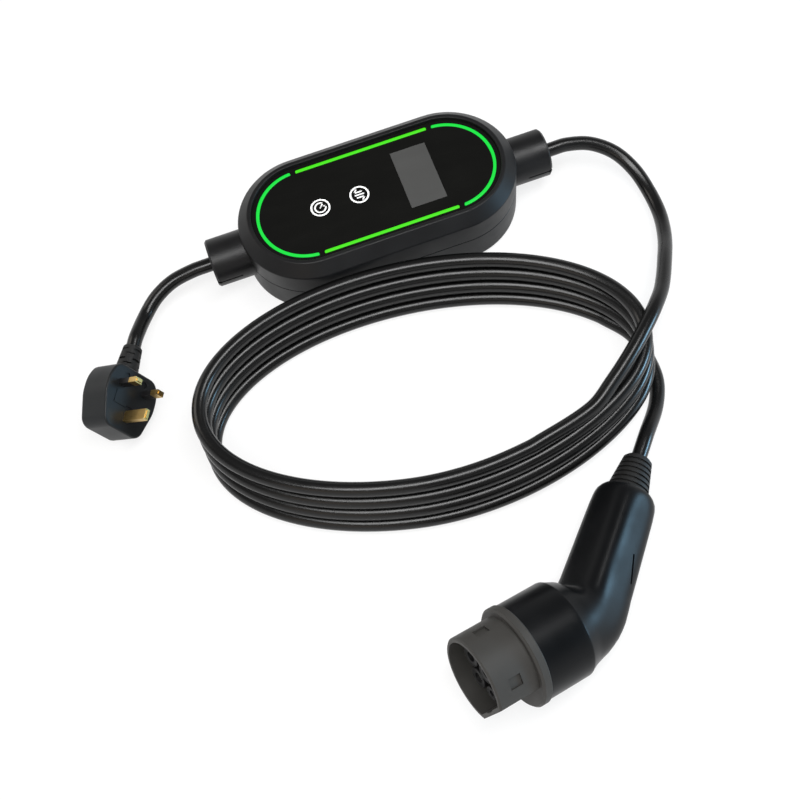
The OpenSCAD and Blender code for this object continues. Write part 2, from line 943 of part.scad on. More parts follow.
module shell(side) {
    far = 4 * handle_length;
    groove_z = 8;
    groove_depth = 1.2;
    groove_floor = handle_flat * sqrt(2) - groove_z - groove_depth;
    color(near_black)
        in_connector()
            difference() {
                union() {
                    hood_form(0, hood_length);
                    handle_form();
                }
                hood_form(hood_wall, hood_length + 1);
                rod(handle_bore_r, 0, cap_face);
                rod(boot_neck_r + fit, 0, handle_length + 1);
                translate([handle_length * 0.3, -2 * elbow_r, groove_z])
                    cube([handle_length * 0.2, 2 * elbow_r - groove_floor, 1.4]);
                translate([-far / 2, -far / 2, side > 0 ? -far : 0])
                    cube([far, far, far]);
            }
}

module upper_shell() {
    shell(1);
}

module lower_shell() {
    shell(-1);
}

module flat_cut(level, from, to) {
    translate([from, level, -nose_d])
        cube([to - from, nose_d, 2 * nose_d]);
}

module nose_shroud() {
    back = hood_length - nose_spigot;
    flange_front = hood_length + flange_t;
    color(grey)
        in_nose()
            difference() {
                turned([
                    [0, back], [nose_spigot_r, back], [nose_spigot_r, hood_length],
                    [flange_r - 1, hood_length], [flange_r, hood_length + 1],
                    [flange_r, flange_front - 1.5], [flange_r - 1.5, flange_front], [nose_r, flange_front],
                    [nose_r, nose_front - 1], [nose_r - 1, nose_front], [0, nose_front]
                ]);
                flat_cut(nose_flat, flange_front, nose_front + 1);
                difference() {
                    rod(nose_bore_r, back + nose_lip, nose_front + 1);
                    flat_cut(nose_flat - nose_wall, back, nose_front + 2);
                }
                rod(nose_bore_r - 5, back - 1, nose_front);
                for (a = window_angles)
                    rotate([a, 0, 0])
                        translate([nose_front - window_back, nose_r - window_depth_nose, -window_size[1] / 2])
                            cube([window_size[0], 5, window_size[1]]);
            }
}

// Each contact sleeve: place, outer radius, bore of the contact, opening at the front
sleeve_list = concat(
    [for (p = concat([earth_place], power_places, spare_places))
        [p, power_sleeve_r, power_contact_r, power_bore_r + 0.7]],
    [for (p = signal_places)
        [p, signal_sleeve_r, signal_contact_r, signal_bore_r + 0.6]]
);

module contact_insert() {
    color(near_black)
        in_nose()
            difference() {
                union() {
                    difference() {
                        rod(nose_bore_r - fit, insert_back, insert_face);
                        flat_cut(nose_flat - nose_wall - fit, insert_back - 1, insert_face + 1);
                    }
                    for (s = sleeve_list)
                        translate([0, s[0][0], s[0][1]])
                            rod(s[1], insert_back, sleeve_front);
                }
                for (s = sleeve_list)
                    translate([0, s[0][0], s[0][1]]) {
                        rod(s[2] + fit, insert_back - 1, sleeve_front - guard);
                        rod(s[3], insert_back, sleeve_front + 1);
                    }
            }
}

module socket_contact(place, outer, bore) {
    tail = 6;
    color(silver)
        in_nose()
            translate([0, place[0], place[1]])
                difference() {
                    rod(outer, insert_back - tail, sleeve_front - guard - fit);
                    rod(bore, insert_back + tail, sleeve_front);
                }
}

module power_contacts() {
    for (p = power_places)
        socket_contact(p, power_contact_r, power_bore_r);
}

module earth_contact() {
    socket_contact(earth_place, power_contact_r, power_bore_r);
}

module signal_contacts() {
    for (p = signal_places)
        socket_contact(p, signal_contact_r, signal_bore_r);
}

module cable_clamp() {
    color(grey)
        in_connector()
            difference() {
                rod(handle_bore_r - fit, clamp_x, clamp_x + clamp_length);
                rod(cable_bore_r, clamp_x - 1, clamp_x + clamp_length + 1);
                for (side = [-1, 1])
                    translate([clamp_x + clamp_length / 2, side * (cable_r + 3), -handle_bore_r])
                        cylinder(r = 1.3 + fit / 2, h = 2 * handle_bore_r);
            }
}

module clamp_screws() {
    half = sqrt(pow(handle_bore_r, 2) - pow(cable_r + 4.5, 2)) - 0.5;
    color(silver)
        in_connector()
            for (side = [-1, 1])
                translate([clamp_x + clamp_length / 2, side * (cable_r + 3), -half])
                    cylinder(r = 1.3, h = 2 * half);
}

module connector_boot() {
    pitch = boot_length / boot_ribs;
    function taper(x) = boot_root_r + (boot_tip_r - boot_root_r) * x / boot_length;
    color(rubber_black)
        in_connector()
            turned(concat(
                [[cable_bore_r, cap_face - boot_flange_t], [boot_flange_r, cap_face - boot_flange_t],
                 [boot_flange_r, cap_face - fit], [boot_neck_r, cap_face - fit],
                 [boot_neck_r, handle_length + fit]],
                [for (i = [0 : boot_ribs - 1], s = [[0, 0], [0.6, 0], [0.6, 1.3], [1, 1.3]])
                    let (x = (i + s[0]) * pitch)
                        [taper(x) - s[1], handle_length + fit + x]],
                [[cable_bore_r, boot_end]]
            ));
}

module mains_lead() {
    color(near_black)
        cable(mains_route);
}

module outlet_lead() {
    color(near_black)
        cable(outlet_route);
}

module connector_lead() {
    color(near_black)
        cable(connector_route);
}

module oval(grow_a, grow_b) {
    points = 90;
    polygon([for (i = [0 : points - 1])
        [(coil_a + grow_a) * cos(360 * i / points), (coil_b + grow_b) * sin(360 * i / points)]]);
}

// The outer shape of the coil: a ring as wide as its leaning turns
module cable_coil() {
    color(near_black)
        translate([coil_top[0], coil_top[1] - coil_shift / 2, 0])
            rotate([0, 0, coil_turn])
                linear_extrude(height = coil_height)
                    difference() {
                        oval(cable_r, cable_r + coil_shift / 2);
                        oval(-cable_r, -cable_r - coil_shift / 2);
                    }
}

rear_housing();
front_housing();
housing_seal();
housing_screws();
face_panel();
light_bars();
light_arcs();
display_window();
display_module();
display_board();
display_screws();
main_board();
board_screws();
relays();
transformer();
leakage_sensor();
terminal_blocks();
gland(-1);  // mains_gland
gland_sleeve(-1);  // mains_gland_sleeve
gland_seal(-1);  // mains_gland_seal
gland(1);  // outlet_gland
gland_sleeve(1);  // outlet_gland_sleeve
gland_seal(1);  // outlet_gland_seal
plug_body();
plug_boot();
line_pin();
neutral_pin();
earth_pin();
pin_sleeves();
fuse();
fuse_carrier();
upper_shell();
lower_shell();
nose_shroud();
contact_insert();
power_contacts();
earth_contact();
signal_contacts();
cable_clamp();
clamp_screws();
connector_boot();
mains_lead();
outlet_lead();
cable_coil();
connector_lead();
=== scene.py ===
"""Looks of a portable EV charger: control box, fused mains plug, coiled cable and vehicle connector."""

import json
import logging
import math
from dataclasses import dataclass
from enum import Enum
from typing import Any, Sequence

import bmesh
import bpy
from mathutils import Euler, Matrix, Vector


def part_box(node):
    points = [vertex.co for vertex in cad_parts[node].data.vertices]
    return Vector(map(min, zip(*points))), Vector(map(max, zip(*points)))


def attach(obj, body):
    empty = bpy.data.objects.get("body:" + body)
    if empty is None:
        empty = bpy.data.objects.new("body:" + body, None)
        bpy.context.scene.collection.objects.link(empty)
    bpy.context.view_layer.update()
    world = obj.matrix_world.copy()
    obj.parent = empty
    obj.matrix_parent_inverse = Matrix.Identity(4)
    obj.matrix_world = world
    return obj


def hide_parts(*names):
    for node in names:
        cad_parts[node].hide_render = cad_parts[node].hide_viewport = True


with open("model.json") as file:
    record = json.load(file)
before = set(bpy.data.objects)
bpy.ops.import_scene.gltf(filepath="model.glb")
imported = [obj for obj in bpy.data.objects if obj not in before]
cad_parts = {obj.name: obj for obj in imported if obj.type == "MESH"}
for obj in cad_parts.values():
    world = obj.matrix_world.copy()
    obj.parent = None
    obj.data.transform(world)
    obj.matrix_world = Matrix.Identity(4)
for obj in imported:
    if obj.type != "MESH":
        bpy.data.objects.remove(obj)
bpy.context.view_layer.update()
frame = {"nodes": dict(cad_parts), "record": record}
LOG = logging.getLogger("charger")

CHARGER = "charger"

# Sizes are in millimetres and angles in degrees, unless a comment says otherwise.
MM = 0.001
CABLE_RADIUS = 5.5
# Edges that turn by more than this stay crisp.
SHARP_ANGLE = 32
# Points that a cut leaves closer than this become one.
SLIVER = 0.002
# Nearly all values of a noise lie in this range.
NOISE_RANGE = (0.3, 0.7)
# A mix node has several sockets of one name, so those of a colour mix go by number.
MIX_FIRST, MIX_SECOND, MIX_RESULT = 6, 7, 2

Skin = bmesh.types.BMesh
Piece = bpy.types.Object
Tree = bpy.types.NodeTree
Node = bpy.types.Node
Socket = bpy.types.NodeSocket
Pair = tuple[float, float]
Triple = tuple[float, float, float]
Path = list[Pair]
Ring = list[Vector]


class Half(Enum):
    """The two halves of the connector's body, by the side of the seam that they keep."""

    UPPER = 1
    LOWER = -1


def node_box(name: str) -> tuple[Vector, Vector]:
    """Gives a CAD node's lowest and highest corners in millimetres."""
    low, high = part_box(name)
    return low / MM, high / MM


# Small tools for nodes and meshes


def linear(hex_code: str) -> tuple[float, float, float, float]:
    """Turns an sRGB hex colour into the linear colour that shaders take.

    Args:
        hex_code: Six hex digits, such as "1A1B1C".

    Returns:
        Linear red, green, blue and an alpha of one.
    """
    parts = [int(hex_code[i:i + 2], 16) / 255 for i in (0, 2, 4)]
    red, green, blue = (c / 12.92 if c <= 0.04045 else ((c + 0.055) / 1.055) ** 2.4 for c in parts)
    return (red, green, blue, 1.0)


def add_node(tree: Tree, kind: str, inputs: dict[Any, Any] | None = None, **settings: Any) -> Any:
    """Adds a node, sets its options and fills or links its inputs.

    Args:
        tree: The node tree that gets the node.
        kind: The node's type name.
        inputs: Values or output sockets by the input's name or number.
        settings: Options of the node itself.

    Returns:
        The new node.
    """
    node = tree.nodes.new(kind)
    for name, value in settings.items():
        setattr(node, name, value)
    for name, value in (inputs or {}).items():
        if isinstance(value, Socket):
            tree.links.new(value, node.inputs[name])
        else:
            node.inputs[name].default_value = value
    return node


def blank_tree(owner: bpy.types.Material | bpy.types.World) -> Tree:
    """Gives the emptied node tree of a material or a world."""
    owner.use_nodes = True
    owner.node_tree.nodes.clear()
    return owner.node_tree


def add_object(name: str, data: bpy.types.ID) -> Piece:
    """Adds an object at the origin to the scene."""
    piece = bpy.data.objects.new(name, data)
    bpy.context.collection.objects.link(piece)
    return piece


def rounded(corners: Sequence[Triple], steps: int = 6) -> Path:
    """Rounds the corners of a closed outline.

    Args:
        corners: Points as (x, y, radius), in order.
        steps: Pieces in each round corner.

    Returns:
        The outline's points.
    """
    outline = []
    count = len(corners)
    for i, (x, y, radius) in enumerate(corners):
        point = Vector((x, y))
        if radius == 0:
            outline.append((x, y))
            continue
        before = (Vector(corners[i - 1][:2]) - point).normalized()
        after = (Vector(corners[(i + 1) % count][:2]) - point).normalized()
        half = math.acos(max(-1.0, min(1.0, before.dot(after)))) / 2
        centre = point + (before + after).normalized() * radius / math.sin(half)
        start = point + before * radius / math.tan(half) - centre
        end = point + after * radius / math.tan(half) - centre
        turn = math.atan2(start.x * end.y - start.y * end.x, start.dot(end))
        for k in range(steps + 1):
            a = turn * k / steps
            outline.append((
                centre.x + start.x * math.cos(a) - start.y * math.sin(a),
                centre.y + start.x * math.sin(a) + start.y * math.cos(a),
            ))
    return outline


def arc_path(radius: float, start: float, end: float, steps: int = 48) -> Path:
    """Gives a flat arc between two angles in degrees."""
    angles = [math.radians(start + (end - start) * i / steps) for i in range(steps + 1)]
    return [(radius * math.cos(a), radius * math.sin(a)) for a in angles]


def stroke_outline(path: Sequence[Pair], width: float, cap_steps: int = 8) -> Path:
    """Gives the outline of a flat stroke with round ends.

    Args:
        path: The stroke's middle line.
        width: Its width.
        cap_steps: Pieces in each round end.

    Returns:
        The closed outline, anticlockwise.
    """
    points = [Vector(p) for p in path]
    half = width / 2
    headings = []
    for i in range(len(points)):
        ahead = points[min(i + 1, len(points) - 1)] - points[max(i - 1, 0)]
        headings.append(math.atan2(ahead.y, ahead.x))
    outline = []
    for side, order in ((-1, 1), (1, -1)):
        for point, a in zip(points[::order], headings[::order]):
            outline.append((point.x - side * half * math.sin(a), point.y + side * half * math.cos(a)))
        end, heading = points[::order][-1], headings[::order][-1] + side * math.pi / 2
        for k in range(1, cap_steps):
            a = heading + math.pi * k / cap_steps
            outline.append((end.x + half * math.cos(a), end.y + half * math.sin(a)))
    return outline


def loft(rings: Sequence[Ring], closed: bool = False) -> Skin:
    """Joins rings of equal count into a skin.

    Args:
        rings: Rings of points, in order along the piece.
        closed: True joins the last ring to the first, False caps both ends.

    Returns:
        The skin, with its faces pointing outwards.
    """
    skin = bmesh.new()
    loops = [[skin.verts.new(point) for point in ring] for ring in rings]
    pairs = list(zip(loops, loops[1:]))
    if closed:
        pairs.append((loops[-1], loops[0]))
    else:
        skin.faces.new(list(reversed(loops[0])))
        skin.faces.new(loops[-1])
    for lower, upper in pairs:
        for i in range(len(lower)):
            k = (i + 1) % len(lower)
            skin.faces.new((lower[i], lower[k], upper[k], upper[i]))
    bmesh.ops.recalc_face_normals(skin, faces=skin.faces)
    return skin


def prism(outline: Sequence[Pair], base: float, top: float) -> Skin:
    """Makes a straight solid over an outline, between two levels."""
    return loft([[Vector((x, y, level)) for x, y in outline] for level in (base, top)])


def drill(radius: float, base: float, top: float, place: Matrix, sides: int = 48) -> Skin:
    """Makes a round cutter.

    Args:
        radius: Its radius.
        base: Level of its lower end.
        top: Level of its upper end.
        place: Its place, with its axis along +Z.
        sides: Its flat sides.

    Returns:
        The cutter.
    """
    turns = [2 * math.pi * i / sides for i in range(sides)]
    hole = prism([(radius * math.cos(a), radius * math.sin(a)) for a in turns], base, top)
    hole.transform(place)
    return hole


def ink_line(path: Path, width: float, base: float, top: float) -> Skin:
    """Makes a thin printed line along a path; a path that closes becomes a ring.

    Args:
        path: The line's middle.
        width: Its width.
        base: Level of its underside.
        top: Level of its top.

    Returns:
        The line's solid.
    """
    if (Vector(path[0]) - Vector(path[-1])).length > SLIVER:
        return prism(stroke_outline(path, width), base, top)
    middle = sum((Vector(p) for p in path[:-1]), Vector((0, 0))) / (len(path) - 1)
    rings = []
    for grow, level in ((-1, base), (1, base), (1, top), (-1, top)):
        ring = []
        for p in path[:-1]:
            away = Vector(p) - middle
            spot = middle + away.normalized() * (away.length + grow * width / 2)
            ring.append(Vector((spot.x, spot.y, level)))
        rings.append(ring)
    return loft(rings, closed=True)


def mark_edges(skin: Skin, sharp_angle: float) -> None:
    """Smooths a skin's faces and keeps its sharp edges crisp.

    Args:
        skin: The skin.
        sharp_angle: Edges that turn by more than this stay crisp.
    """
    limit = math.radians(sharp_angle)
    for face in skin.faces:
        face.smooth = True
    for edge in skin.edges:
        edge.smooth = len(edge.link_faces) == 2 and edge.calc_face_angle(0.0) < limit


def finish_mesh(skin: Skin, name: str, place: Matrix, sharp_angle: float = SHARP_ANGLE) -> Piece:
    """Turns a skin in millimetres into an object whose place is in its mesh.

    Args:
        skin: The skin, which is freed.
        name: Name of the piece.
        place: Turn and place of the piece, with its shift in millimetres.
        sharp_angle: Edges that turn by more than these degrees stay crisp.

    Returns:
        The new object, linked to the scene.
    """
    skin.transform(Matrix.Scale(MM, 4) @ place)
    mark_edges(skin, sharp_angle)
    mesh = bpy.data.meshes.new(name)
    skin.to_mesh(mesh)
    skin.free()
    return add_object(name, mesh)


def join(name: str, skins: Sequence[Skin]) -> Piece:
    """Puts several skins into one piece.

    Args:
        name: Name of the piece.
        skins: The skins, which are freed.

    Returns:
        The piece.
    """
    whole = bmesh.new()
    for skin in skins:
        mesh = bpy.data.meshes.new("part")
        skin.to_mesh(mesh)
        skin.free()
        whole.from_mesh(mesh)
        bpy.data.meshes.remove(mesh)
    return finish_mesh(whole, name, Matrix())


def bake(piece: Piece) -> None:
    """Replaces a piece's mesh by the result of its modifiers and removes them."""
    evaluated = piece.evaluated_get(bpy.context.evaluated_depsgraph_get())
    mesh = bpy.data.meshes.new_from_object(evaluated)
    piece.modifiers.clear()
    piece.data = mesh


def carve(piece: Piece, cutters: Sequence[Skin], place: Matrix) -> None:
    """Cuts shapes out of a piece, with crisp rims and evenly shaded flat faces.

    Args:
        piece: The piece to cut.
        cutters: The shapes, in millimetres.
        place: Turn and place of the shapes.
    """
    tools = []
    for number, cutter in enumerate(cutters):
        tool = finish_mesh(cutter, f"cutter_{number}", place)
        modifier = piece.modifiers.new(tool.name, "BOOLEAN")
        modifier.object = tool
        modifier.operation = "DIFFERENCE"
        modifier.solver = "EXACT"
        tools.append(tool)
    bake(piece)
    for tool in tools:
        bpy.data.objects.remove(tool)
    skin = bmesh.new()
    skin.from_mesh(piece.data)
    bmesh.ops.remove_doubles(skin, verts=skin.verts, dist=SLIVER * MM)
    bmesh.ops.dissolve_degenerate(skin, dist=SLIVER * MM, edges=skin.edges)
    mark_edges(skin, SHARP_ANGLE)
    skin.to_mesh(piece.data)
    skin.free()
    even = piece.modifiers.new("even_shading", "WEIGHTED_NORMAL")
    even.keep_sharp = True
    bake(piece)


def settle(piece: Piece, slot: str, finish: "Finish", *replaced: str) -> Piece:
    """Dresses a piece of the charger, ties it to its body and hides the nodes it stands for.

    Args:
        piece: The finished piece.
        slot: The record's material slot; not used.
        finish: Its finish.
        replaced: CAD nodes that it stands for.

    Returns:
        The piece.
    """
    piece.data.materials.clear()
    piece.data.materials.append(finish.material())
    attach(piece, CHARGER)
    if replaced:
        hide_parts(*replaced)
    LOG.info("%s rides on %s", piece.name, CHARGER)
    return piece


def dress(wear: dict["Finish", Sequence[str]]) -> list[Piece]:
    """Gives CAD nodes their finishes.

    Args:
        wear: The nodes' names, by finish.

    Returns:
        The nodes' objects.
    """
    pieces = []
    for finish, names in wear.items():
        for name in names:
            piece = frame["nodes"][name]
            for slot in piece.material_slots:
                slot.material = finish.material()
            pieces.append(piece)
            LOG.info("%s has %s", name, finish.name)
    return pieces


# Finishes


@dataclass(frozen=True)
class Finish:
    """A surface finish of two close tones; each kind fills in its own shader."""

    name: str
    colour: str
    roughness: float
    second: str
    specular: float = 0.5

    def material(self) -> bpy.types.Material:
        """Gives the finish's material, made once."""
        known = bpy.data.materials.get(self.name)
        if known:
            return known
        material = bpy.data.materials.new(self.name)
        tree = blank_tree(material)
        shader = add_node(tree, "ShaderNodeBsdfPrincipled", {
            "Roughness": self.roughness, "Specular IOR Level": self.specular,
        })
        add_node(tree, "ShaderNodeOutputMaterial", {"Surface": shader.outputs["BSDF"]})
        self.paint(tree, shader)
        return material

    def paint(self, tree: Tree, shader: Node) -> None:
        """Fills in the shader.

        Args:
            tree: The material's nodes.
            shader: The Principled shader to fill in.
        """
        raise NotImplementedError

    def pattern(self, tree: Tree, size: float, detail: float, stretch: Triple = (1, 1, 1)) -> Socket:
        """Lays uneven patches over the piece.

        Args:
            tree: The material's nodes.
            size: Width of a patch in millimetres.
            detail: Finer layers in the patches.
            stretch: Scale along each axis of the piece.

        Returns:
            The patches' value socket.
        """
        where = add_node(tree, "ShaderNodeTexCoord").outputs["Object"]
        turned = add_node(tree, "ShaderNodeMapping", {"Vector": where, "Scale": stretch})
        patches = add_node(tree, "ShaderNodeTexNoise", {
            "Vector": turned.outputs["Vector"], "Scale": 1 / (size * MM), "Detail": detail,
        })
        return patches.outputs[0]

    def coat(self, tree: Tree, shader: Node, tone: Socket, gloss: Socket, swing: Pair) -> None:
        """Gives the shader its colour and an uneven gloss.

        Args:
            tree: The material's nodes.
            shader: The shader to fill in.
            tone: Pattern that blends the two tones.
            gloss: Pattern that moves the roughness.
            swing: Lowest and highest change of the roughness.
        """
        mix = add_node(tree, "ShaderNodeMix", {
            "Factor": tone, MIX_FIRST: linear(self.colour), MIX_SECOND: linear(self.second),
        }, data_type="RGBA")
        tree.links.new(mix.outputs[MIX_RESULT], shader.inputs["Base Color"])
        moved = add_node(tree, "ShaderNodeMapRange", {
            "Value": gloss, "From Min": NOISE_RANGE[0], "From Max": NOISE_RANGE[1],
            "To Min": self.roughness + swing[0], "To Max": self.roughness + swing[1],
        })
        tree.links.new(moved.outputs["Result"], shader.inputs["Roughness"])


@dataclass(frozen=True)
class Moulded(Finish):
    """Spark-textured moulded plastic: an even matt skin with a fine grain and slightly shinier patches."""

    # The grain is drawn coarser than the real tenth of a millimetre, so that it shows.
    grain: float = 0.7
    grain_depth: float = 0.1
    relief: float = 0.12
    patch: float = 26
    swing: float = 0.06

    def paint(self, tree: Tree, shader: Node) -> None:
        """Adds grain, tone and gloss patches."""
        broad = self.pattern(tree, self.patch, 3)
        self.coat(tree, shader, broad, broad, (-self.swing, self.swing))
        bump = add_node(tree, "ShaderNodeBump", {
            "Strength": self.relief, "Distance": self.grain_depth * MM,
            "Height": self.pattern(tree, self.grain, 1),
        })
        tree.links.new(bump.outputs["Normal"], shader.inputs["Normal"])


@dataclass(frozen=True)
class Gloss(Finish):
    """Hard-coated acrylic sheet: deep and smooth, with faint wipe marks in its gloss."""

    wipe: float = 34
    wipe_stretch: Triple = (1, 3, 1)
    swing: float = 0.08

    def paint(self, tree: Tree, shader: Node) -> None:
        """Adds wipe marks to the gloss and a faint tone to the colour."""
        marks = self.pattern(tree, self.wipe, 4, self.wipe_stretch)
        self.coat(tree, shader, marks, marks, (0, self.swing))


@dataclass(frozen=True)
class Lamp(Finish):
    """Lit polycarbonate light guide: even light with the soft beat of the lamps behind it."""

    specular: float = 0.1
    unlit: str = "191919"
    strength: float = 1.0
    beat: float = 7

    def paint(self, tree: Tree, shader: Node) -> None:
        """Lets the piece glow in its own colour."""
        shader.inputs["Base Color"].default_value = linear(self.unlit)
        mix = add_node(tree, "ShaderNodeMix", {
            "Factor": self.pattern(tree, self.beat, 1),
            MIX_FIRST: linear(self.colour), MIX_SECOND: linear(self.second),
        }, data_type="RGBA")
        tree.links.new(mix.outputs[MIX_RESULT], shader.inputs["Emission Color"])
        shader.inputs["Emission Strength"].default_value = self.strength


@dataclass(frozen=True)
class Jacket(Finish):
    """Extruded cable jacket: satin black with a soft shine and slight waves from the cores inside."""

    patch: float = 40
    rub: float = 18
    swing: Pair = (-0.03, 0.04)
    wave: float = 9
    wave_depth: float = 0.3
    relief: float = 0.02

    def paint(self, tree: Tree, shader: Node) -> None:
        """Adds waves, rub marks and an uneven satin shine."""
        rubs = self.pattern(tree, self.rub, 2)
        self.coat(tree, shader, self.pattern(tree, self.patch, 3), rubs, self.swing)
        bump = add_node(tree, "ShaderNodeBump", {
            "Strength": self.relief, "Distance": self.wave_depth * MM,
            "Height": self.pattern(tree, self.wave, 2),
        })
        tree.links.new(bump.outputs["Normal"], shader.inputs["Normal"])


@dataclass(frozen=True)
class Metal(Finish):
    """Turned or stamped metal: a warm or bright base with fine tool lines in its gloss."""

    tarnish: float = 6
    # The tool lines are drawn coarser than the real ones, so that they show.
    line: float = 0.5
    line_stretch: Triple = (1, 1, 0.08)
    swing: Pair = (-0.06, 0.1)

    def paint(self, tree: Tree, shader: Node) -> None:
        """Adds tool lines and a slight tarnish."""
        lines = self.pattern(tree, self.line, 2, self.line_stretch)
        self.coat(tree, shader, self.pattern(tree, self.tarnish, 3), lines, self.swing)
        shader.inputs["Metallic"].default_value = 1.0


class Finishes:
    """The charger's finishes, named for what each piece is made of."""

    # Moulded ABS and polycarbonate blend: matt charcoal that lifts to grey on the sloping bezel.
    HOUSING = Moulded("abs_pc_housing", "101011", 0.44, "151516", 0.22, relief=0.16)
    # Hard-coated acrylic: near black, so the lights stand out.
    PANEL = Gloss("acrylic_panel", "0B0B0A", 0.2, "0E0E0C", 0.2)
    # Lit light guides: lime along the sides, purer green round the ends.
    LIME = Lamp("lit_guide_lime", "44EA08", 0.4, "4CEE10")
    GREEN = Lamp("lit_guide_green", "08E540", 0.4, "0CEB48")
    # Smoked polycarbonate over a dark display: flat grey with a little shine.
    DISPLAY = Gloss("smoked_polycarbonate", "444443", 0.3, "494948", 0.3)
    # Screen-printed ink: flat bright white.
    INK = Moulded("printed_ink", "F2F2EF", 0.6, "FFFFFF", relief=0.05)
    # Glass-filled nylon glands: black with a slightly coarser grain.
    GLAND = Moulded("nylon_gland", "0D0D0E", 0.4, "131314", 0.28, grain=0.9, relief=0.14)
    # Thermoplastic rubber boots and seals: soft black with almost no shine.
    RUBBER = Moulded("tpe_rubber", "111111", 0.6, "181818", 0.35, grain=0.6, relief=0.15)
    # Thermoset plug body: dark slate with a dull shine.
    PLUG = Moulded("urea_plug", "101214", 0.44, "15181A", 0.25, relief=0.1)
    # Polyamide connector body: black that picks up a cool sheen.
    CONNECTOR = Moulded("polyamide_connector", "070809", 0.34, "0B0C0E", 0.14, grain=0.8, relief=0.08)
    # Uncoated polyamide nose: plain dark grey.
    NOSE = Moulded("polyamide_nose", "333230", 0.55, "3A3937", 0.25, grain=0.8)
    # Polyamide round the contacts: a plain black that leaves the bores dark.
    INSERT = Moulded("polyamide_insert", "0C0C0D", 0.5, "121213")
    # Polyurethane jacket: satin black with long bright highlights.
    JACKET = Jacket("polyurethane_jacket", "080808", 0.25, "0C0C0C", 0.37)
    # Stamped brass pins: warm yellow with soft streaks.
    BRASS = Metal("stamped_brass", "BE9F60", 0.32, "C9AD74")
    # Silver-plated contacts: a bright, slightly grey metal.
    SILVER = Metal("silver_plated_copper", "C9C9C6", 0.25, "B4B2AC")
    # Zinc-plated screws: a cool, dull grey metal.
    STEEL = Metal("zinc_plated_steel", "A9ABAE", 0.35, "8F9194")
    # Solder-masked glass epoxy: dark green with a low shine.
    BOARD = Moulded("glass_epoxy_board", "0C3A22", 0.45, "125030", grain=0.5)
    # Moulded parts inside: plain black.
    INNER = Moulded("inner_plastic", "141414", 0.5, "1C1C1C")


# Camera, light and floor


@dataclass(frozen=True)
class Softbox:
    """A soft lamp, with its place and size in metres and its power in watts."""

    name: str
    place: Triple
    size: Pair
    power: float
    tint: str

    def build(self, aim: Triple) -> None:
        """Hangs the lamp.

        Args:
            aim: The point that it faces, in metres.
        """
        data = bpy.data.lights.new(self.name, "AREA")
        data.shape = "RECTANGLE"
        data.size, data.size_y = self.size
        data.energy = self.power
        data.color = linear(self.tint)[:3]
        lamp = add_object(self.name, data)
        turn = (Vector(aim) - Vector(self.place)).to_track_quat("-Z", "Y")
        lamp.matrix_world = Matrix.Translation(self.place) @ turn.to_matrix().to_4x4()
        lamp.visible_camera = False


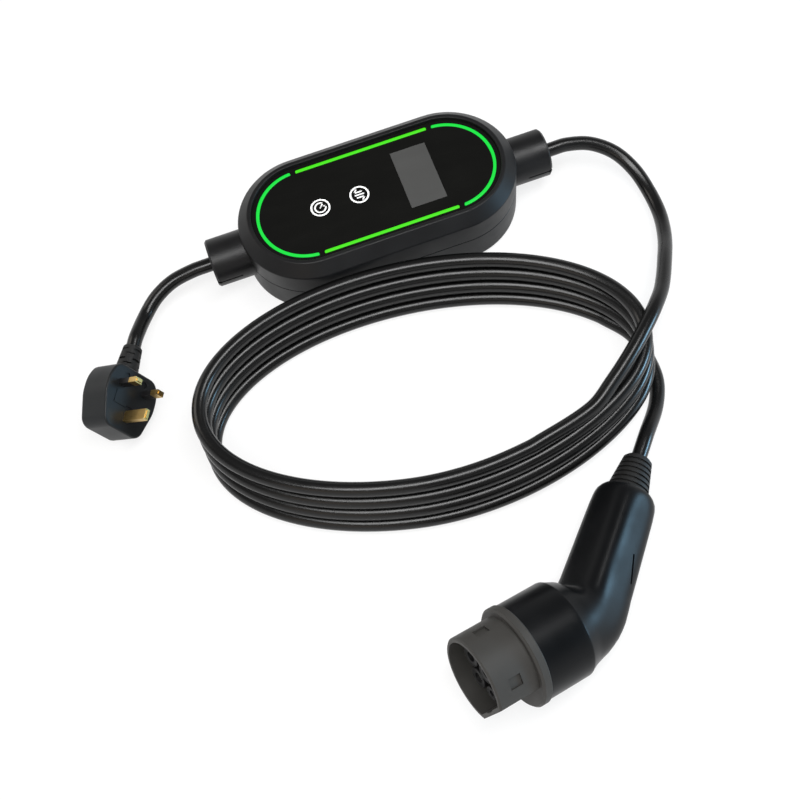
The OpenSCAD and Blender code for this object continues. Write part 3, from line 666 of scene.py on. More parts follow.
@dataclass
class Studio:
    """The camera, the lamps and the floor."""

    # The camera: what it looks at, and the pixel that this falls on.
    elevation: float = 66
    azimuth: float = -9
    roll: float = -11
    field_of_view: float = 36
    target: Triple = (0, 0, 56)
    target_pixel: Pair = (376, 187)
    distance: float = 925
    picture: float = 800
    # The room, in metres.
    nearest: float = 0.01
    lamps: tuple[Softbox, ...] = (
        Softbox("overhead_strip", (0.1, -0.35, 1.45), (1.6, 0.42), 25, "FFFFFF"),
        Softbox("key", (-1.15, 0.8, 0.95), (0.8, 0.8), 5, "FFF8F0"),
        Softbox("cool_side", (1.4, -0.62, 0.22), (0.42, 0.38), 11, "A8DDFF"),
        Softbox("fill", (-0.8, -1.2, 0.8), (0.8, 0.8), 1.5, "FFE9D2"),
    )
    lamp_aim: Triple = (0, -0.15, 0)
    floor_half: float = 4
    floor_level: float = -0.0001
    shadow_reach: Pair = (0.35, 0.9)
    # Shares of white, and the range of the view's slope in which the sky darkens.
    floor_glow: float = 0.8
    ceiling: float = 0.22
    ceiling_rise: Pair = (0.1, 0.55)

    def build(self) -> None:
        """Sets up the camera, the lamps, the world and the floor."""
        self.camera()
        for lamp in self.lamps:
            lamp.build(self.lamp_aim)
        self.world()
        self.floor()
        bpy.context.scene.view_settings.view_transform = "Standard"

    def camera(self) -> None:
        """Places the camera so that the target falls on its pixel."""
        rise, swing, roll = (math.radians(a) for a in (self.elevation, self.azimuth, self.roll))
        back = Vector((
            math.sin(swing) * math.cos(rise), -math.cos(swing) * math.cos(rise), math.sin(rise),
        ))
        level_right = Vector((math.cos(swing), math.sin(swing), 0))
        level_up = back.cross(level_right)
        right = math.cos(roll) * level_right + math.sin(roll) * level_up
        up = math.cos(roll) * level_up - math.sin(roll) * level_right
        half_tan = math.tan(math.radians(self.field_of_view) / 2)
        focal = self.picture / 2 / half_tan
        across = (self.target_pixel[0] - self.picture / 2) / focal
        above = (self.picture / 2 - self.target_pixel[1]) / focal
        place = Vector(self.target) + self.distance * (back - across * right - above * up)
        data = bpy.data.cameras.new("camera")
        data.lens = data.sensor_width / 2 / half_tan
        data.clip_start = self.nearest
        camera = add_object("camera", data)
        turn = Matrix((right, up, back)).transposed().to_4x4()
        camera.matrix_world = Matrix.Translation(place * MM) @ turn
        bpy.context.scene.camera = camera

    def world(self) -> None:
        """Lights the scene from a white horizon that darkens to a grey ceiling."""
        world = bpy.data.worlds.new("studio")
        bpy.context.scene.world = world
        tree = blank_tree(world)
        where = add_node(tree, "ShaderNodeTexCoord").outputs["Generated"]
        height = add_node(tree, "ShaderNodeSeparateXYZ", {"Vector": where}).outputs["Z"]
        strength = add_node(tree, "ShaderNodeMapRange", {
            "Value": height, "From Min": self.ceiling_rise[0], "From Max": self.ceiling_rise[1],
            "To Min": 1.0, "To Max": self.ceiling,
        }, interpolation_type="SMOOTHSTEP")
        sky = add_node(tree, "ShaderNodeBackground", {
            "Color": linear("FFFFFF"), "Strength": strength.outputs["Result"],
        })
        add_node(tree, "ShaderNodeOutputWorld", {"Surface": sky.outputs["Background"]})

    def floor(self) -> None:
        """Lays a white floor that keeps the object's shadow near it and glows white farther out."""
        sheet = bmesh.new()
        bmesh.ops.create_grid(sheet, x_segments=1, y_segments=1, size=self.floor_half / MM)
        floor = finish_mesh(sheet, "floor", Matrix.Translation((0, 0, self.floor_level / MM)))
        material = bpy.data.materials.new("studio_paper")
        tree = blank_tree(material)
        paths = add_node(tree, "ShaderNodeLightPath").outputs
        seen = paths["Is Camera Ray"]
        for other in ("Is Glossy Ray", "Is Transmission Ray"):
            either = add_node(tree, "ShaderNodeMath", {0: seen, 1: paths[other]}, operation="MAXIMUM")
            seen = either.outputs[0]
        where = add_node(tree, "ShaderNodeTexCoord").outputs["Object"]
        reach = add_node(tree, "ShaderNodeVectorMath", {0: where}, operation="LENGTH")
        lit = add_node(tree, "ShaderNodeMapRange", {
            "Value": reach.outputs["Value"],
            "From Min": self.shadow_reach[0], "From Max": self.shadow_reach[1],
            "To Min": self.floor_glow, "To Max": 1.0,
        }, interpolation_type="SMOOTHSTEP")
        share = add_node(tree, "ShaderNodeMath", {
            0: seen, 1: lit.outputs["Result"],
        }, operation="MULTIPLY")
        paper = add_node(tree, "ShaderNodeBsdfDiffuse", {"Color": linear("FBFBFB")})
        glow = add_node(tree, "ShaderNodeEmission", {"Color": linear("FFFFFF"), "Strength": 1.0})
        mix = add_node(tree, "ShaderNodeMixShader", {
            0: share.outputs[0], 1: paper.outputs["BSDF"], 2: glow.outputs["Emission"],
        })
        add_node(tree, "ShaderNodeOutputMaterial", {"Surface": mix.outputs["Shader"]})
        floor.data.materials.append(material)


# Frames of the plug and the connector


@dataclass(frozen=True)
class Frames:
    """Where the plug and the connector lie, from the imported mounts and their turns."""

    connector_turn: Triple = (17, 4.7, 50)
    bend: float = 38
    nose_front: float = 92
    plug_turn: Triple = (60, 0, 61)

    @staticmethod
    def mount(name: str) -> Vector:
        """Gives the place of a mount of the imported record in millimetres."""
        found = next(m for m in frame["record"]["mounts"] if m["name"] == name)
        return Vector(found["pos_m"]) / MM

    @staticmethod
    def turned(angles: Triple) -> Matrix:
        """Gives a turn from its angles in degrees."""
        return Euler([math.radians(a) for a in angles], "XYZ").to_matrix().to_4x4()

    def bent(self) -> Matrix:
        """Gives the turn from the handle's direction to the nose's."""
        return Matrix.Rotation(math.radians(180 - self.bend), 4, "Z")

    def connector(self) -> Matrix:
        """Gives the connector's frame: the handle along +X from the elbow."""
        turn = self.turned(self.connector_turn)
        ahead = turn @ self.bent() @ Vector((1, 0, 0))
        return Matrix.Translation(self.mount("vehicle_coupling") - ahead * self.nose_front) @ turn

    def nose(self) -> Matrix:
        """Gives the nose's frame: the nose along +X from the elbow."""
        return self.connector() @ self.bent()

    def plug(self) -> Matrix:
        """Gives the plug's frame: pins along +Z from the pin face, cable along +X."""
        return Matrix.Translation(self.mount("mains_pins")) @ self.turned(self.plug_turn)


# Cords


@dataclass
class Cords:
    """The mains lead and the coiled vehicle cable, on the routes of the CAD solids."""

    frames: Frames
    facets: int = 9
    point_gap: float = 2
    outlet_z: float = 28
    gland_depth: float = 20
    coil_half_length: float = 162
    coil_half_width: float = 85
    coil_turn: float = -8
    coil_lean: float = 5
    coil_levels: int = 4
    coil_shift: float = 15
    first_turn: float = 66
    last_turn: float = 1410
    turn_step: float = 4
    drop_start: float = 30
    drop_span: float = 70
    # Points from the outlet gland's end, then from the middle of the coil's top turn.
    outlet_straight: float = 6
    outlet_points: tuple[Triple, ...] = (
        (19, 0, 21.8), (37, -4, 18.5), (53, -15, 13), (63, -32, 7), (67, -53, 3),
        (66, -75, 4), (59, -98, 11), (48, -120, 22),
    )
    outlet_climb: tuple[Triple, ...] = (
        (185, 0, 34), (171, -17, 42), (158, -30, 44.5), (141, -45, 44.5), (121, -60, 43), (100, -73, 40),
    )
    # Points from the middle of the coil's lowest turns, then stops along the handle.
    exit_points: tuple[Triple, ...] = ((159, 2, 0), (162, -18, 0), (161, -39, 0), (152, -58, 2))
    connector_stops: tuple[float, ...] = (140, 120, 92, 68)
    # Points from the mains gland's end, then stops along the plug's cable way.
    mains_straight: float = 4
    mains_points: tuple[Triple, ...] = ((16, 0, 21.8), (33, -2, 19.5), (48, -9, 17), (60, -20, 15))
    plug_stops: tuple[float, ...] = (56, 48, 20)
    plug_cable_z: float = -14

    def __post_init__(self) -> None:
        """Finds the glands' ends and the middle of the coil's top turn in the frame."""
        self.gland_end = node_box("outlet_gland_sleeve")[1].x
        low, high = node_box("cable_coil")
        self.coil_top = ((low.x + high.x) / 2, (low.y + high.y + self.coil_shift) / 2)

    def build(self, connector_pieces: Sequence[Piece], plug_pieces: Sequence[Piece]) -> None:
        """Args:
            connector_pieces: The pieces of the vehicle connector.
            plug_pieces: The pieces of the mains plug.
        """
        self.lay(
            "vehicle_cable", self.vehicle_route(), self.gland_end, "connector", "coiled",
            ("outlet_lead", "cable_coil", "connector_lead"), connector_pieces,
        )
        self.lay(
            "mains_cable", self.mains_route(), -self.gland_end, "plug", "loose",
            ("mains_lead",), plug_pieces,
        )

    def lay(
        self, name: str, route: Ring, exit_x: float, far_end: str, lay: str,
        replaced: Sequence[str], on_it: Sequence[Piece],
    ) -> None:
        """Args:
            name: Name of the piece.
            route: Points that the cord's middle follows.
            exit_x: Where it leaves its gland; not used.
            far_end: What is on its far end; not used.
            lay: How it lies; not used.
            replaced: CAD nodes that it stands for.
            on_it: The pieces on it; not used.
        """
        path = self.smooth(route)
        curve = bpy.data.curves.new(name, "CURVE")
        curve.dimensions = "3D"
        curve.bevel_depth = CABLE_RADIUS * MM
        curve.bevel_resolution = self.facets
        curve.use_fill_caps = True
        spline = curve.splines.new("POLY")
        spline.points.add(len(path) - 1)
        for point, place in zip(spline.points, path):
            point.co = (*(place * MM), 1.0)
        spline.use_smooth = True
        cord = settle(add_object(name, curve), "cable_jacket", Finishes.JACKET, *replaced)

    def smooth(self, points: Ring) -> Ring:
        """Draws a smooth curve through points.

        Args:
            points: The points, in order.

        Returns:
            Closely spaced points along the curve.
        """
        padded = [2 * points[0] - points[1], *points, 2 * points[-1] - points[-2]]
        path = []
        for before, start, end, after in zip(padded, padded[1:], padded[2:], padded[3:]):
            span = (end - start).length
            ahead = (end - before) * span / ((start - before).length + span)
            behind = (after - start) * span / ((after - end).length + span)
            count = max(1, round(span / self.point_gap))
            for i in range(count):
                t = i / count
                path.append(
                    start * (2 * t ** 3 - 3 * t ** 2 + 1) + ahead * (t ** 3 - 2 * t ** 2 + t)
                    + end * (3 * t ** 2 - 2 * t ** 3) + behind * (t ** 3 - t ** 2)
                )
        path.append(points[-1].copy())
        return path

    def coil(self) -> Ring:
        """Winds the coil's turns from the top down, each leaning towards the viewer."""
        tilt = Matrix.Rotation(math.radians(self.coil_turn), 3, "Z")
        left, near = self.coil_top
        ring = []
        for i in range(int((self.last_turn - self.first_turn) / self.turn_step) + 1):
            angle = self.first_turn + i * self.turn_step
            whole, rest = divmod(angle, 360)
            drop = max(0.0, min(1.0, (rest - self.drop_start) / self.drop_span))
            level = whole - 1 + drop * drop * (3 - 2 * drop)
            a = math.radians(angle)
            oval = Vector((self.coil_half_length * math.cos(a), -self.coil_half_width * math.sin(a), 0))
            height = CABLE_RADIUS * (1 + 2 * (self.coil_levels - 1 - level))
            ring.append(tilt @ oval + Vector((left, near - self.coil_lean * level, height)))
        return ring

    def vehicle_route(self) -> Ring:
        """Gives the vehicle cable's route, from its gland through the coil to the connector."""
        rise = CABLE_RADIUS
        left, near = self.coil_top
        connector = self.frames.connector()
        start = (self.gland_end - self.gland_depth, self.gland_end + self.outlet_straight)
        route = [Vector((x, 0, self.outlet_z)) for x in start]
        route += [Vector((self.gland_end + x, y, z + rise)) for x, y, z in self.outlet_points]
        route += [Vector((left + x, near + y, z + rise)) for x, y, z in self.outlet_climb]
        route += self.coil()
        route += [Vector((left + x, near - self.coil_shift + y, z + rise)) for x, y, z in self.exit_points]
        route += [connector @ Vector((x, 0, 0)) for x in self.connector_stops]
        return route

    def mains_route(self) -> Ring:
        """Gives the mains lead's route, from its gland to the plug."""
        plug = self.frames.plug()
        start = (self.gland_depth - self.gland_end, -self.gland_end - self.mains_straight)
        route = [Vector((x, 0, self.outlet_z)) for x in start]
        route += [Vector((-self.gland_end - x, y, z + CABLE_RADIUS)) for x, y, z in self.mains_points]
        route += [plug @ Vector((x, 0, self.plug_cable_z)) for x in self.plug_stops]
        return route


# Repeated pieces


@dataclass
class Repeats:
    """Geometry Nodes trees for what repeats: screw heads and the rims of the contact sleeves."""

    head_sides: int = 40
    drive_sides: int = 6
    drive_share: float = 0.45
    drive_sink: float = 0.45
    rim_sides: int = 48
    wire_sides: int = 10

    @staticmethod
    def tree(name: str, sizes: Sequence[str]) -> tuple[Tree, Node, dict[str, str]]:
        """Starts a tree with named size inputs.

        Args:
            name: Name of the tree.
            sizes: Names of its size inputs.

        Returns:
            The tree, its input node and the identifier of each input.
        """
        tree = bpy.data.node_groups.new(name, "GeometryNodeTree")
        tree.interface.new_socket("Places", in_out="INPUT", socket_type="NodeSocketGeometry")
        tree.interface.new_socket("Pieces", in_out="OUTPUT", socket_type="NodeSocketGeometry")
        kinds = {size: "NodeSocketFloat" for size in sizes}
        kinds |= {"Turn": "NodeSocketVector", "Finish": "NodeSocketMaterial"}
        names = {}
        for label, kind in kinds.items():
            socket = tree.interface.new_socket(label, in_out="INPUT", socket_type=kind)
            names[label] = socket.identifier
        return tree, add_node(tree, "NodeGroupInput"), names

    @staticmethod
    def close(tree: Tree, entry: Node, shape: Socket) -> None:
        """Puts a shape on every place, makes it real and sets its finish.

        Args:
            tree: The tree.
            entry: Its input node.
            shape: The shape's socket.
        """
        spread = add_node(tree, "GeometryNodeInstanceOnPoints", {
            "Points": entry.outputs["Places"], "Instance": shape, "Rotation": entry.outputs["Turn"],
        })
        real = add_node(tree, "GeometryNodeRealizeInstances", {"Geometry": spread.outputs["Instances"]})
        dressed = add_node(tree, "GeometryNodeSetMaterial", {
            "Geometry": real.outputs["Geometry"], "Material": entry.outputs["Finish"],
        })
        add_node(tree, "NodeGroupOutput", {"Pieces": dressed.outputs["Geometry"]})

    @staticmethod
    def grow(
        name: str, tree: Tree, names: dict[str, str], values: dict[str, Any], places: Ring,
    ) -> Piece:
        """Runs a tree on places and keeps the plain mesh.

        Args:
            name: Name of the piece.
            tree: The tree.
            names: The identifier of each input.
            values: The inputs' values.
            places: Where the pieces go.

        Returns:
            The new object.
        """
        mesh = bpy.data.meshes.new(name)
        mesh.from_pydata([place * MM for place in places], [], [])
        piece = add_object(name, mesh)
        modifier = piece.modifiers.new("repeat", "NODES")
        modifier.node_group = tree
        for label, value in values.items():
            modifier[names[label]] = value
        bake(piece)
        return piece

    def screw_heads(self, name: str, places: Ring, radius: float, depth: float) -> Piece:
        """Makes screw heads with a six-sided drive, facing down.

        Args:
            name: Name of the piece.
            places: The middles of the heads.
            radius: Their radius.
            depth: Their height.

        Returns:
            The heads.
        """
        tree, entry, names = self.tree("screw_heads", ("Radius", "Depth", "Drive radius"))
        sizes = entry.outputs
        head, drive = (add_node(tree, "GeometryNodeMeshCylinder", {
            "Vertices": sides, "Radius": sizes[across], "Depth": sizes["Depth"],
        }) for sides, across in ((self.head_sides, "Radius"), (self.drive_sides, "Drive radius")))
        lower = add_node(tree, "ShaderNodeMath", {
            0: sizes["Depth"], 1: -self.drive_sink,
        }, operation="MULTIPLY")
        shift = add_node(tree, "ShaderNodeCombineXYZ", {"Z": lower.outputs[0]})
        sunk = add_node(tree, "GeometryNodeSetPosition", {
            "Geometry": drive.outputs["Mesh"], "Offset": shift.outputs["Vector"],
        })
        cut = add_node(tree, "GeometryNodeMeshBoolean", {
            "Mesh 1": head.outputs["Mesh"], "Mesh 2": sunk.outputs["Geometry"],
        }, operation="DIFFERENCE")
        self.close(tree, entry, cut.outputs["Mesh"])
        return self.grow(name, tree, names, {
            "Radius": radius * MM, "Depth": depth * MM, "Drive radius": self.drive_share * radius * MM,
            "Finish": Finishes.STEEL.material(),
        }, places)

    def rims(self, name: str, places: Ring, radius: float, wire: float, along: Vector) -> Piece:
        """Makes round rims that face along a direction.

        Args:
            name: Name of the piece.
            places: The middles of the rims.
            radius: Their radius.
            wire: Radius of their round section.
            along: The direction.

        Returns:
            The rims.
        """
        tree, entry, names = self.tree(f"{name}_tree", ("Radius", "Wire radius"))
        ring, wire_ring = (add_node(tree, "GeometryNodeCurvePrimitiveCircle", {
            "Resolution": sides, "Radius": entry.outputs[across],
        }) for sides, across in ((self.rim_sides, "Radius"), (self.wire_sides, "Wire radius")))
        rim = add_node(tree, "GeometryNodeCurveToMesh", {
            "Curve": ring.outputs["Curve"], "Profile Curve": wire_ring.outputs["Curve"],
        })
        self.close(tree, entry, rim.outputs["Mesh"])
        return self.grow(name, tree, names, {
            "Radius": radius * MM, "Wire radius": wire * MM,
            "Turn": tuple(along.to_track_quat("Z", "Y").to_euler()),
            "Finish": Finishes.INSERT.material(),
        }, places)


# Sub-assemblies


@dataclass
class ControlBox:
    """The capsule-shaped control box with its face, lights, glands and boards."""

    seam: float = 0.2
    seam_round: float = 0.5
    wall: float = 4
    floor_thickness: float = 3
    floor_round: float = 1
    floor_middle: float = 12
    back_round: float = 4
    bezel: float = 8.5
    bezel_foot_round: float = 2.5
    bezel_top_round: float = 1.6
    opening_round: float = 0.7
    panel_clear: float = 0.1
    ledge_width: float = 3.6
    ledge_thickness: float = 3
    gland_hole: float = 14.1
    sleeve_clear: float = 0.1
    screw_radius: float = 3.5
    screw_depth: float = 2.1
    screw_sink: float = 0.6
    screw_clear: float = 0.15
    screw_well: Pair = (-1, 2.8)
    light_width: float = 2.8
    light_gap: float = 3.7
    light_depth: float = 1.2
    light_crown: float = 0.25
    light_shoulder: float = 0.6
    light_side_gap: float = 0.25
    print_height: float = 0.06
    print_sink: float = 0.02
    ring_radius: float = 6.9
    ring_width: float = 1.35
    stroke_width: float = 1.15
    gauge_x: float = -44.5
    # Radius, first angle and last angle.
    dial: Triple = (4.1, 50, 362)
    dial_ends: tuple[Pair, Pair] = ((0.4, 0.5), (3.0, 0.6))
    needle: tuple[Pair, Pair] = ((0.3, 0.4), (-0.1, -0.1))
    arrows_x: float = -13.5
    arrows: tuple[tuple[Pair, Pair], ...] = (
        ((-3.2, 2.4), (2.2, 2.4)), ((-3.2, 2.4), (-1.5, 4.9)), ((-3.2, 0.0), (3.2, 0.0)),
        ((3.2, -2.4), (-2.2, -2.4)), ((3.2, -2.4), (1.5, -4.9)),
    )

    def __post_init__(self) -> None:
        """Takes the box's main sizes from the frame."""
        low, high = node_box("front_housing")
        self.end_radius = high.y
        self.half_straight = high.x - high.y
        self.parting, self.height = low.z, high.z
        low, high = node_box("face_panel")
        self.opening_radius = high.y + self.panel_clear
        self.panel_base, self.panel_top = low.z, high.z
        low, high = node_box("outlet_gland_sleeve")
        self.sleeve_start, self.sleeve_radius = low.x, high.y
        corner = node_box("housing_screws")[1]
        self.screw_place = (corner.x - self.screw_radius, corner.y - self.screw_radius)
        self.light_radius = node_box("light_bars")[1].y - self.light_width / 2

    def build(self) -> None:
        """Makes the shells, the lights, the prints and the screws, and dresses the rest."""
        self.front_shell()
        self.rear_shell()
        self.lights()
        self.prints()
        self.screws()
        dress({
            Finishes.PANEL: ("face_panel",),
            Finishes.DISPLAY: ("display_window",),
            Finishes.GLAND: ("mains_gland", "outlet_gland", "mains_gland_sleeve", "outlet_gland_sleeve"),
            Finishes.RUBBER: ("housing_seal", "mains_gland_seal", "outlet_gland_seal"),
            Finishes.BOARD: ("display_board", "main_board"),
            Finishes.INNER: (
                "display_module", "relays", "transformer", "leakage_sensor", "terminal_blocks",
            ),
            Finishes.STEEL: ("display_screws", "board_screws"),
        })

    def ring(self, radius: float, level: float, steps: int = 40) -> Ring:
        """Gives a capsule ring at a level.

        Args:
            radius: Radius of its ends.
            level: Its level.
            steps: Pieces in each end.

        Returns:
            The ring's points.
        """
        points = []
        for side, start in ((1, -90), (-1, 90)):
            middle = side * self.half_straight
            for x, y in arc_path(radius, start, start + 180, steps):
                points.append(Vector((middle + x, y, level)))
        return points

    def gland_cutters(self) -> list[Skin]:
        """Gives the round cutters for both gland holes and the seats of their sleeves."""
        holes = (
            (self.gland_hole, self.half_straight),
            (self.sleeve_radius + self.sleeve_clear, self.sleeve_start - self.sleeve_clear),
        )
        cutters = []
        for side in (-90, 90):
            turn = Matrix.Rotation(math.radians(side), 4, "Y")
            place = Matrix.Translation((0, 0, self.parting)) @ turn
            cutters += [drill(radius, start, start + self.end_radius, place) for radius, start in holes]
        return cutters

    def front_shell(self) -> None:
        """Makes the front shell with its sloping bezel and the seat of the face panel."""
        outer, opening = self.end_radius, self.opening_radius
        inner = outer - self.wall
        base = self.parting + self.seam
        ledge = opening - self.ledge_width
        ledge_base = self.panel_base - self.ledge_thickness
        section = rounded([
            (outer, base, self.seam_round), (outer, self.height - self.bezel, self.bezel_foot_round),
            (outer - self.bezel, self.height, self.bezel_top_round),
            (opening, self.height, self.opening_round), (opening, self.panel_base, 0),
            (ledge, self.panel_base, 0), (ledge, ledge_base, 0), (inner, ledge_base, 0), (inner, base, 0),
        ])
        skin = loft([self.ring(r, z) for r, z in section], closed=True)
        shell = finish_mesh(skin, "front_shell", Matrix())
        carve(shell, self.gland_cutters(), Matrix())
        settle(shell, "housing_plastic", Finishes.HOUSING, "front_housing")

    def rear_shell(self) -> None:
        """Makes the rear shell with its rounded back edge and the wells of the screws."""
        outer, middle, floor = self.end_radius, self.floor_middle, self.floor_thickness
        inner = outer - self.wall
        top = self.parting - self.seam
        section = rounded([
            (middle, floor, 0), (inner, floor, self.floor_round), (inner, top, 0),
            (outer, top, self.seam_round), (outer, 0, self.back_round), (middle, 0, 0),
        ])
        shell = finish_mesh(loft([self.ring(r, z) for r, z in section]), "rear_shell", Matrix())
        radius = self.screw_radius + self.screw_clear
        wells = [drill(radius, *self.screw_well, Matrix.Translation(p)) for p in self.screw_places(0)]
        carve(shell, self.gland_cutters() + wells, Matrix())
        settle(shell, "housing_plastic", Finishes.HOUSING, "rear_housing")

    def screw_places(self, level: float) -> Ring:
        """Gives the four housing screws' places at a level."""
        x, y = self.screw_place
        return [Vector((i * x, k * y, level)) for i in (-1, 1) for k in (-1, 1)]

    def screws(self) -> None:
        """Sets the four screws into the back."""
        places = self.screw_places(self.screw_sink + self.screw_depth / 2)
        heads = Repeats().screw_heads("housing_screw_heads", places, self.screw_radius, self.screw_depth)
        settle(heads, "screw_steel", Finishes.STEEL, "housing_screws")

    def guide(self, path: Path) -> Skin:
        """Makes one light guide with round ends and a slightly crowned top.

        Args:
            path: The flat path that its middle follows.

        Returns:
            The guide.
        """
        edge, top = self.light_side_gap, self.panel_top
        levels = (
            (edge, top - self.light_depth), (edge, top),
            (edge + self.light_shoulder, top + self.light_crown),
        )
        return loft([
            [Vector((x, y, level)) for x, y in stroke_outline(path, self.light_width - 2 * inset)]
            for inset, level in levels
        ])

    def lights(self) -> None:
        """Makes the two straight and the two arched light guides."""
        radius, half = self.light_radius, self.half_straight
        gap = (self.light_gap + self.light_width) / 2
        bars = [self.guide([(gap - half, y), (half - gap, y)]) for y in (-radius, radius)]
        reach = 90 - math.degrees(math.asin(gap / radius))
        arcs = []
        for middle, shift in ((0, half), (180, -half)):
            arc = arc_path(radius, middle - reach, middle + reach)
            arcs.append(self.guide([(shift + x, y) for x, y in arc]))
        settle(join("light_guides_straight", bars), "light_lime", Finishes.LIME, "light_bars")
        settle(join("light_guides_round", arcs), "light_green", Finishes.GREEN, "light_arcs")

    def prints(self) -> None:
        """Prints the two plain touch marks on the face panel: a dial, and lines with half arrows."""
        base = self.panel_top - self.print_sink
        top = self.panel_top + self.print_height
        dial = arc_path(*self.dial)
        gauge = [dial, [dial[0], self.dial_ends[0]], [dial[-1], self.dial_ends[1]], self.needle]
        marks = (
            ("touch_mark_gauge", self.gauge_x, gauge), ("touch_mark_arrows", self.arrows_x, self.arrows),
        )
        for name, middle, strokes in marks:
            lines = [(arc_path(self.ring_radius, 0, 360), self.ring_width)]
            lines += [(path, self.stroke_width) for path in strokes]
            inks = []
            for path, width in lines:
                inks.append(ink_line([(x + middle, y) for x, y in path], width, base, top))
            settle(join(name, inks), "panel_gloss", Finishes.INK)


@dataclass
class MainsPlug:
    """The fused three-pin plug."""

    frames: Frames
    front: float = 25
    front_share: float = 0.8
    back: float = -23
    back_share: float = 0.7
    half_width: float = 24
    depth: float = 27
    corner: float = 9
    cheek_radius: float = 26
    cheek: Pair = (13, 1)
    # Place along and across the pin face, and radius.
    screw_well: Triple = (18, 8.5, 2.4)
    well_depth: float = 0.9
    well_rise: float = 1
    well_sides: int = 24
    back_edge: float = 3
    face_edge: float = 1.6
    edge_steps: int = 6
    # Width, length and depth of the fuse drawer.
    carrier: Triple = (9.6, 29, 11)
    carrier_clear: float = 0.15
    carrier_rise: float = 2

    def build(self) -> list[Piece]:
        """Makes the body, dresses the CAD pieces and returns all pieces of the plug."""
        return [self.body(), *dress({
            Finishes.RUBBER: ("plug_boot",),
            Finishes.BRASS: ("line_pin", "neutral_pin", "earth_pin"),
            Finishes.INSERT: ("pin_sleeves",),
            Finishes.PLUG: ("fuse_carrier",),
            Finishes.SILVER: ("fuse",),
        })]

    def outline(self, inset: float) -> Path:
        """Gives the body's outline.

        Args:
            inset: How far it is drawn in.

        Returns:
            The outline's points.
        """
        w = self.half_width - inset
        front, back = self.front - inset, self.back + inset
        front_w, back_w = self.front_share * w, self.back_share * w
        tight, wide = self.corner - inset, self.cheek_radius - inset
        near, far = self.cheek
        return rounded([
            (front, -front_w, tight), (front, front_w, tight), (near, w, wide), (far, w, wide),
            (back, back_w, tight), (back, -back_w, tight), (far, -w, wide), (near, -w, wide),
        ])

    def body(self) -> Piece:
        """Makes the body with rounded edges and the well of the fuse drawer."""
        quarter = [math.pi / 2 * i / self.edge_steps for i in range(self.edge_steps + 1)]
        back, face = self.back_edge, self.face_edge
        levels = [(back * (1 - math.sin(a)), back * (1 - math.cos(a)) - self.depth) for a in quarter]
        levels += [(face * (1 - math.cos(a)), face * (math.sin(a) - 1)) for a in quarter]
        rings = [[Vector((x, y, z)) for x, y in self.outline(inset)] for inset, z in levels]
        place = self.frames.plug()
        body = finish_mesh(loft(rings), "plug_moulding", place)
        x, y = (size / 2 + self.carrier_clear for size in self.carrier[:2])
        bottom = -self.carrier[2] - self.carrier_clear
        well = prism([(-x, -y), (x, -y), (x, y), (-x, y)], bottom, self.carrier_rise)
        carve(body, [well, *self.screw_wells()], place)
        return settle(body, "plug_plastic", Finishes.PLUG, "plug_body")

    def screw_wells(self) -> list[Skin]:
        """Gives the cutters of the two shallow wells on the pin face, beside the cable."""
        x, y, radius = self.screw_well
        places = [Matrix.Translation((x, side, 0)) for side in (-y, y)]
        return [drill(radius, -self.well_depth, self.well_rise, p, self.well_sides) for p in places]


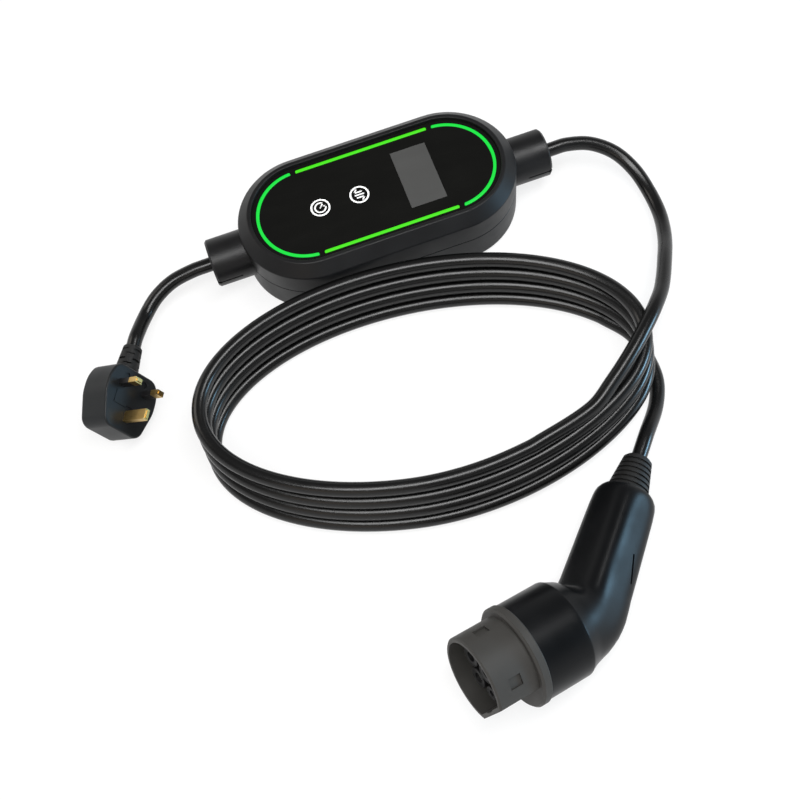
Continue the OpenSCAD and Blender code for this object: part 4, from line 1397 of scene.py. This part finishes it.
@dataclass
class VehicleConnector:
    """The bent vehicle connector: grey nose, two-part black body and ribbed boot."""

    frames: Frames
    hood_radius: float = 34
    hood_places: tuple[float, ...] = (-55, -48, -36)
    # Place along the body, and drop below the hood's radius.
    hood_edge: tuple[Pair, ...] = ((-21.5, 0), (-20.5, 0.3), (-19.2, 1.1))
    # Place along the body, radius of the flats, and roundness.
    handle: tuple[Triple, ...] = (
        (-15, 30.8, 0.97), (-10, 28.2, 0.85), (-4, 25.4, 0.65), (3, 23.0, 0.42), (10, 21.3, 0.25),
        (18, 20.5, 0.12), (28, 20.1, 0.05), (45, 19.7, 0.1), (62, 19.4, 0.2), (78, 19.2, 0.35),
        (85, 19.1, 0.5), (88.5, 19.0, 0.7), (91, 18.4, 0.9), (92, 17.8, 1),
    )
    bend_reach: float = 11
    section_gap: float = 3
    corner_power: float = 4.3
    flat_angle: float = 45
    facet_turn: float = 17
    sides: int = 72
    sharp_angle: float = 40
    seam: float = 0.12
    groove_place: Pair = (37, 7)
    groove_length: float = 19
    groove_width: float = 1.6
    groove_floor: float = 18.2
    groove_slant: float = 16
    rim_front: float = 81.9
    rim_wire: float = 0.5
    power_radius: float = 7.2
    power_places: tuple[Pair, ...] = ((0, 0), (0, 16), (0, -16), (-14, 9), (-14, -9))
    signal_radius: float = 5.0
    signal_places: tuple[Pair, ...] = ((12.5, 8.5), (12.5, -8.5))

    def build(self) -> list[Piece]:
        """Makes the body and the rims, dresses the CAD pieces and returns all pieces of the connector."""
        halves = [self.half(half) for half in Half]
        rims = [
            self.sleeve_rims("power_rims", self.power_places, self.power_radius),
            self.sleeve_rims("signal_rims", self.signal_places, self.signal_radius),
        ]
        return [*halves, *rims, *dress({
            Finishes.NOSE: ("nose_shroud",),
            Finishes.INSERT: ("contact_insert",),
            Finishes.SILVER: ("power_contacts", "earth_contact", "signal_contacts"),
            Finishes.RUBBER: ("connector_boot",),
            Finishes.INNER: ("cable_clamp",),
            Finishes.STEEL: ("clamp_screws",),
        })]

    def stations(self) -> list[Triple]:
        """Gives (place, flat radius, roundness) along the body, nose side negative."""
        hood = [(place, self.hood_radius, 1) for place in self.hood_places]
        edge = [(place, self.hood_radius - drop, 1) for place, drop in self.hood_edge]
        return [*hood, *edge, *self.handle]

    def spine(self, place: float) -> tuple[Vector, float]:
        """Gives the point and heading of the body's middle line at a place along it.

        Args:
            place: Distance from the elbow, nose side negative.

        Returns:
            The point, and the heading in radians about +Z.
        """
        bend = math.radians(self.frames.bend)
        reach = self.bend_reach
        ahead = Vector((-math.cos(bend), math.sin(bend), 0))
        if place <= -reach:
            return ahead * -place, -bend
        if place >= reach:
            return Vector((place, 0, 0)), 0.0
        t = (place + reach) / (2 * reach)
        start = ahead * reach
        end = Vector((reach, 0, 0))
        point = start * (1 - t) ** 2 + end * t ** 2
        slope = -start * (1 - t) + end * t
        return point, math.atan2(slope.y, slope.x)

    def section(self, place: float, radius: float, roundness: float) -> Ring:
        """Gives one ring of the body, between a circle and a soft square set on its corner.

        Args:
            place: Distance along the body.
            radius: Distance from the middle to the flats.
            roundness: One for a circle, zero for the soft square.

        Returns:
            The ring's points.
        """
        middle, heading = self.spine(place)
        power = 2 + (self.corner_power - 2) * (1 - roundness)
        side = Vector((-math.sin(heading), math.cos(heading), 0))
        turn = math.radians(self.flat_angle - self.facet_turn)
        ring = []
        for i in range(self.sides):
            a = 2 * math.pi * (i + 0.5) / self.sides
            b = a - turn
            reach = radius * (abs(math.cos(b)) ** power + abs(math.sin(b)) ** power) ** (-1 / power)
            ring.append(middle + side * reach * math.cos(a) + Vector((0, 0, reach * math.sin(a))))
        return ring

    def body(self) -> Skin:
        """Lofts the whole body through finely spaced sections."""
        stations = self.stations()
        rings = []
        for start, end in zip(stations, stations[1:]):
            count = max(1, round((end[0] - start[0]) / self.section_gap))
            for t in (i / count for i in range(count)):
                rings.append(self.section(*(a + (b - a) * t for a, b in zip(start, end))))
        rings.append(self.section(*stations[-1]))
        return loft(rings)

    def half(self, half: Half) -> Piece:
        """Makes one half of the body, cut at the seam.

        Args:
            half: Which one.

        Returns:
            The half.
        """
        skin = self.body()
        level = half.value * self.seam
        everything = list(skin.verts) + list(skin.edges) + list(skin.faces)
        cut = bmesh.ops.bisect_plane(
            skin, geom=everything, plane_co=(0, 0, level), plane_no=(0, 0, -half.value), clear_outer=True,
        )
        rim = [e for e in cut["geom_cut"] if isinstance(e, bmesh.types.BMEdge)]
        bmesh.ops.contextual_create(skin, geom=rim)
        bmesh.ops.recalc_face_normals(skin, faces=skin.faces)
        name = half.name.lower()
        piece = finish_mesh(skin, f"body_{name}", self.frames.connector(), self.sharp_angle)
        if half is Half.UPPER:
            carve(piece, [self.groove()], self.frames.connector())
        return settle(piece, "connector_black", Finishes.CONNECTOR, f"{name}_shell")

    def groove(self) -> Skin:
        """Gives the cutter of the thin oblique slot on the outer flat of the handle."""
        reach = self.groove_length / 2
        outline = stroke_outline([(-reach, 0), (reach, 0)], self.groove_width)
        slot = prism(outline, self.groove_floor, self.hood_radius)
        slot.transform(
            Matrix.Rotation(math.radians(self.flat_angle - self.facet_turn), 4, "X")
            @ Matrix.Translation((self.groove_place[0], -self.groove_place[1], 0))
            @ Matrix.Rotation(math.radians(self.groove_slant), 4, "Z")
        )
        return slot

    def sleeve_rims(self, name: str, places: Sequence[Pair], radius: float) -> Piece:
        """Makes the rounded rims on the fronts of one kind of contact sleeve.

        Args:
            name: Name of the piece.
            places: The sleeves' places across the nose.
            radius: The sleeves' outer radius.

        Returns:
            The rims.
        """
        nose = self.frames.nose()
        along = (nose.to_3x3() @ Vector((1, 0, 0))).normalized()
        spots = [nose @ Vector((self.rim_front, y, z)) for y, z in places]
        piece = Repeats().rims(name, spots, radius - self.rim_wire, self.rim_wire, along)
        return settle(piece, "insert_black", Finishes.INSERT)


def main() -> None:
    """Builds the studio, the cords and every sub-assembly."""
    logging.basicConfig(level=logging.INFO, format="%(name)s: %(message)s")
    frames = Frames()
    Studio().build()
    plug = MainsPlug(frames).build()
    connector = VehicleConnector(frames).build()
    Cords(frames).build(connector, plug)
    ControlBox().build()


if __name__ == "__main__":
    main()
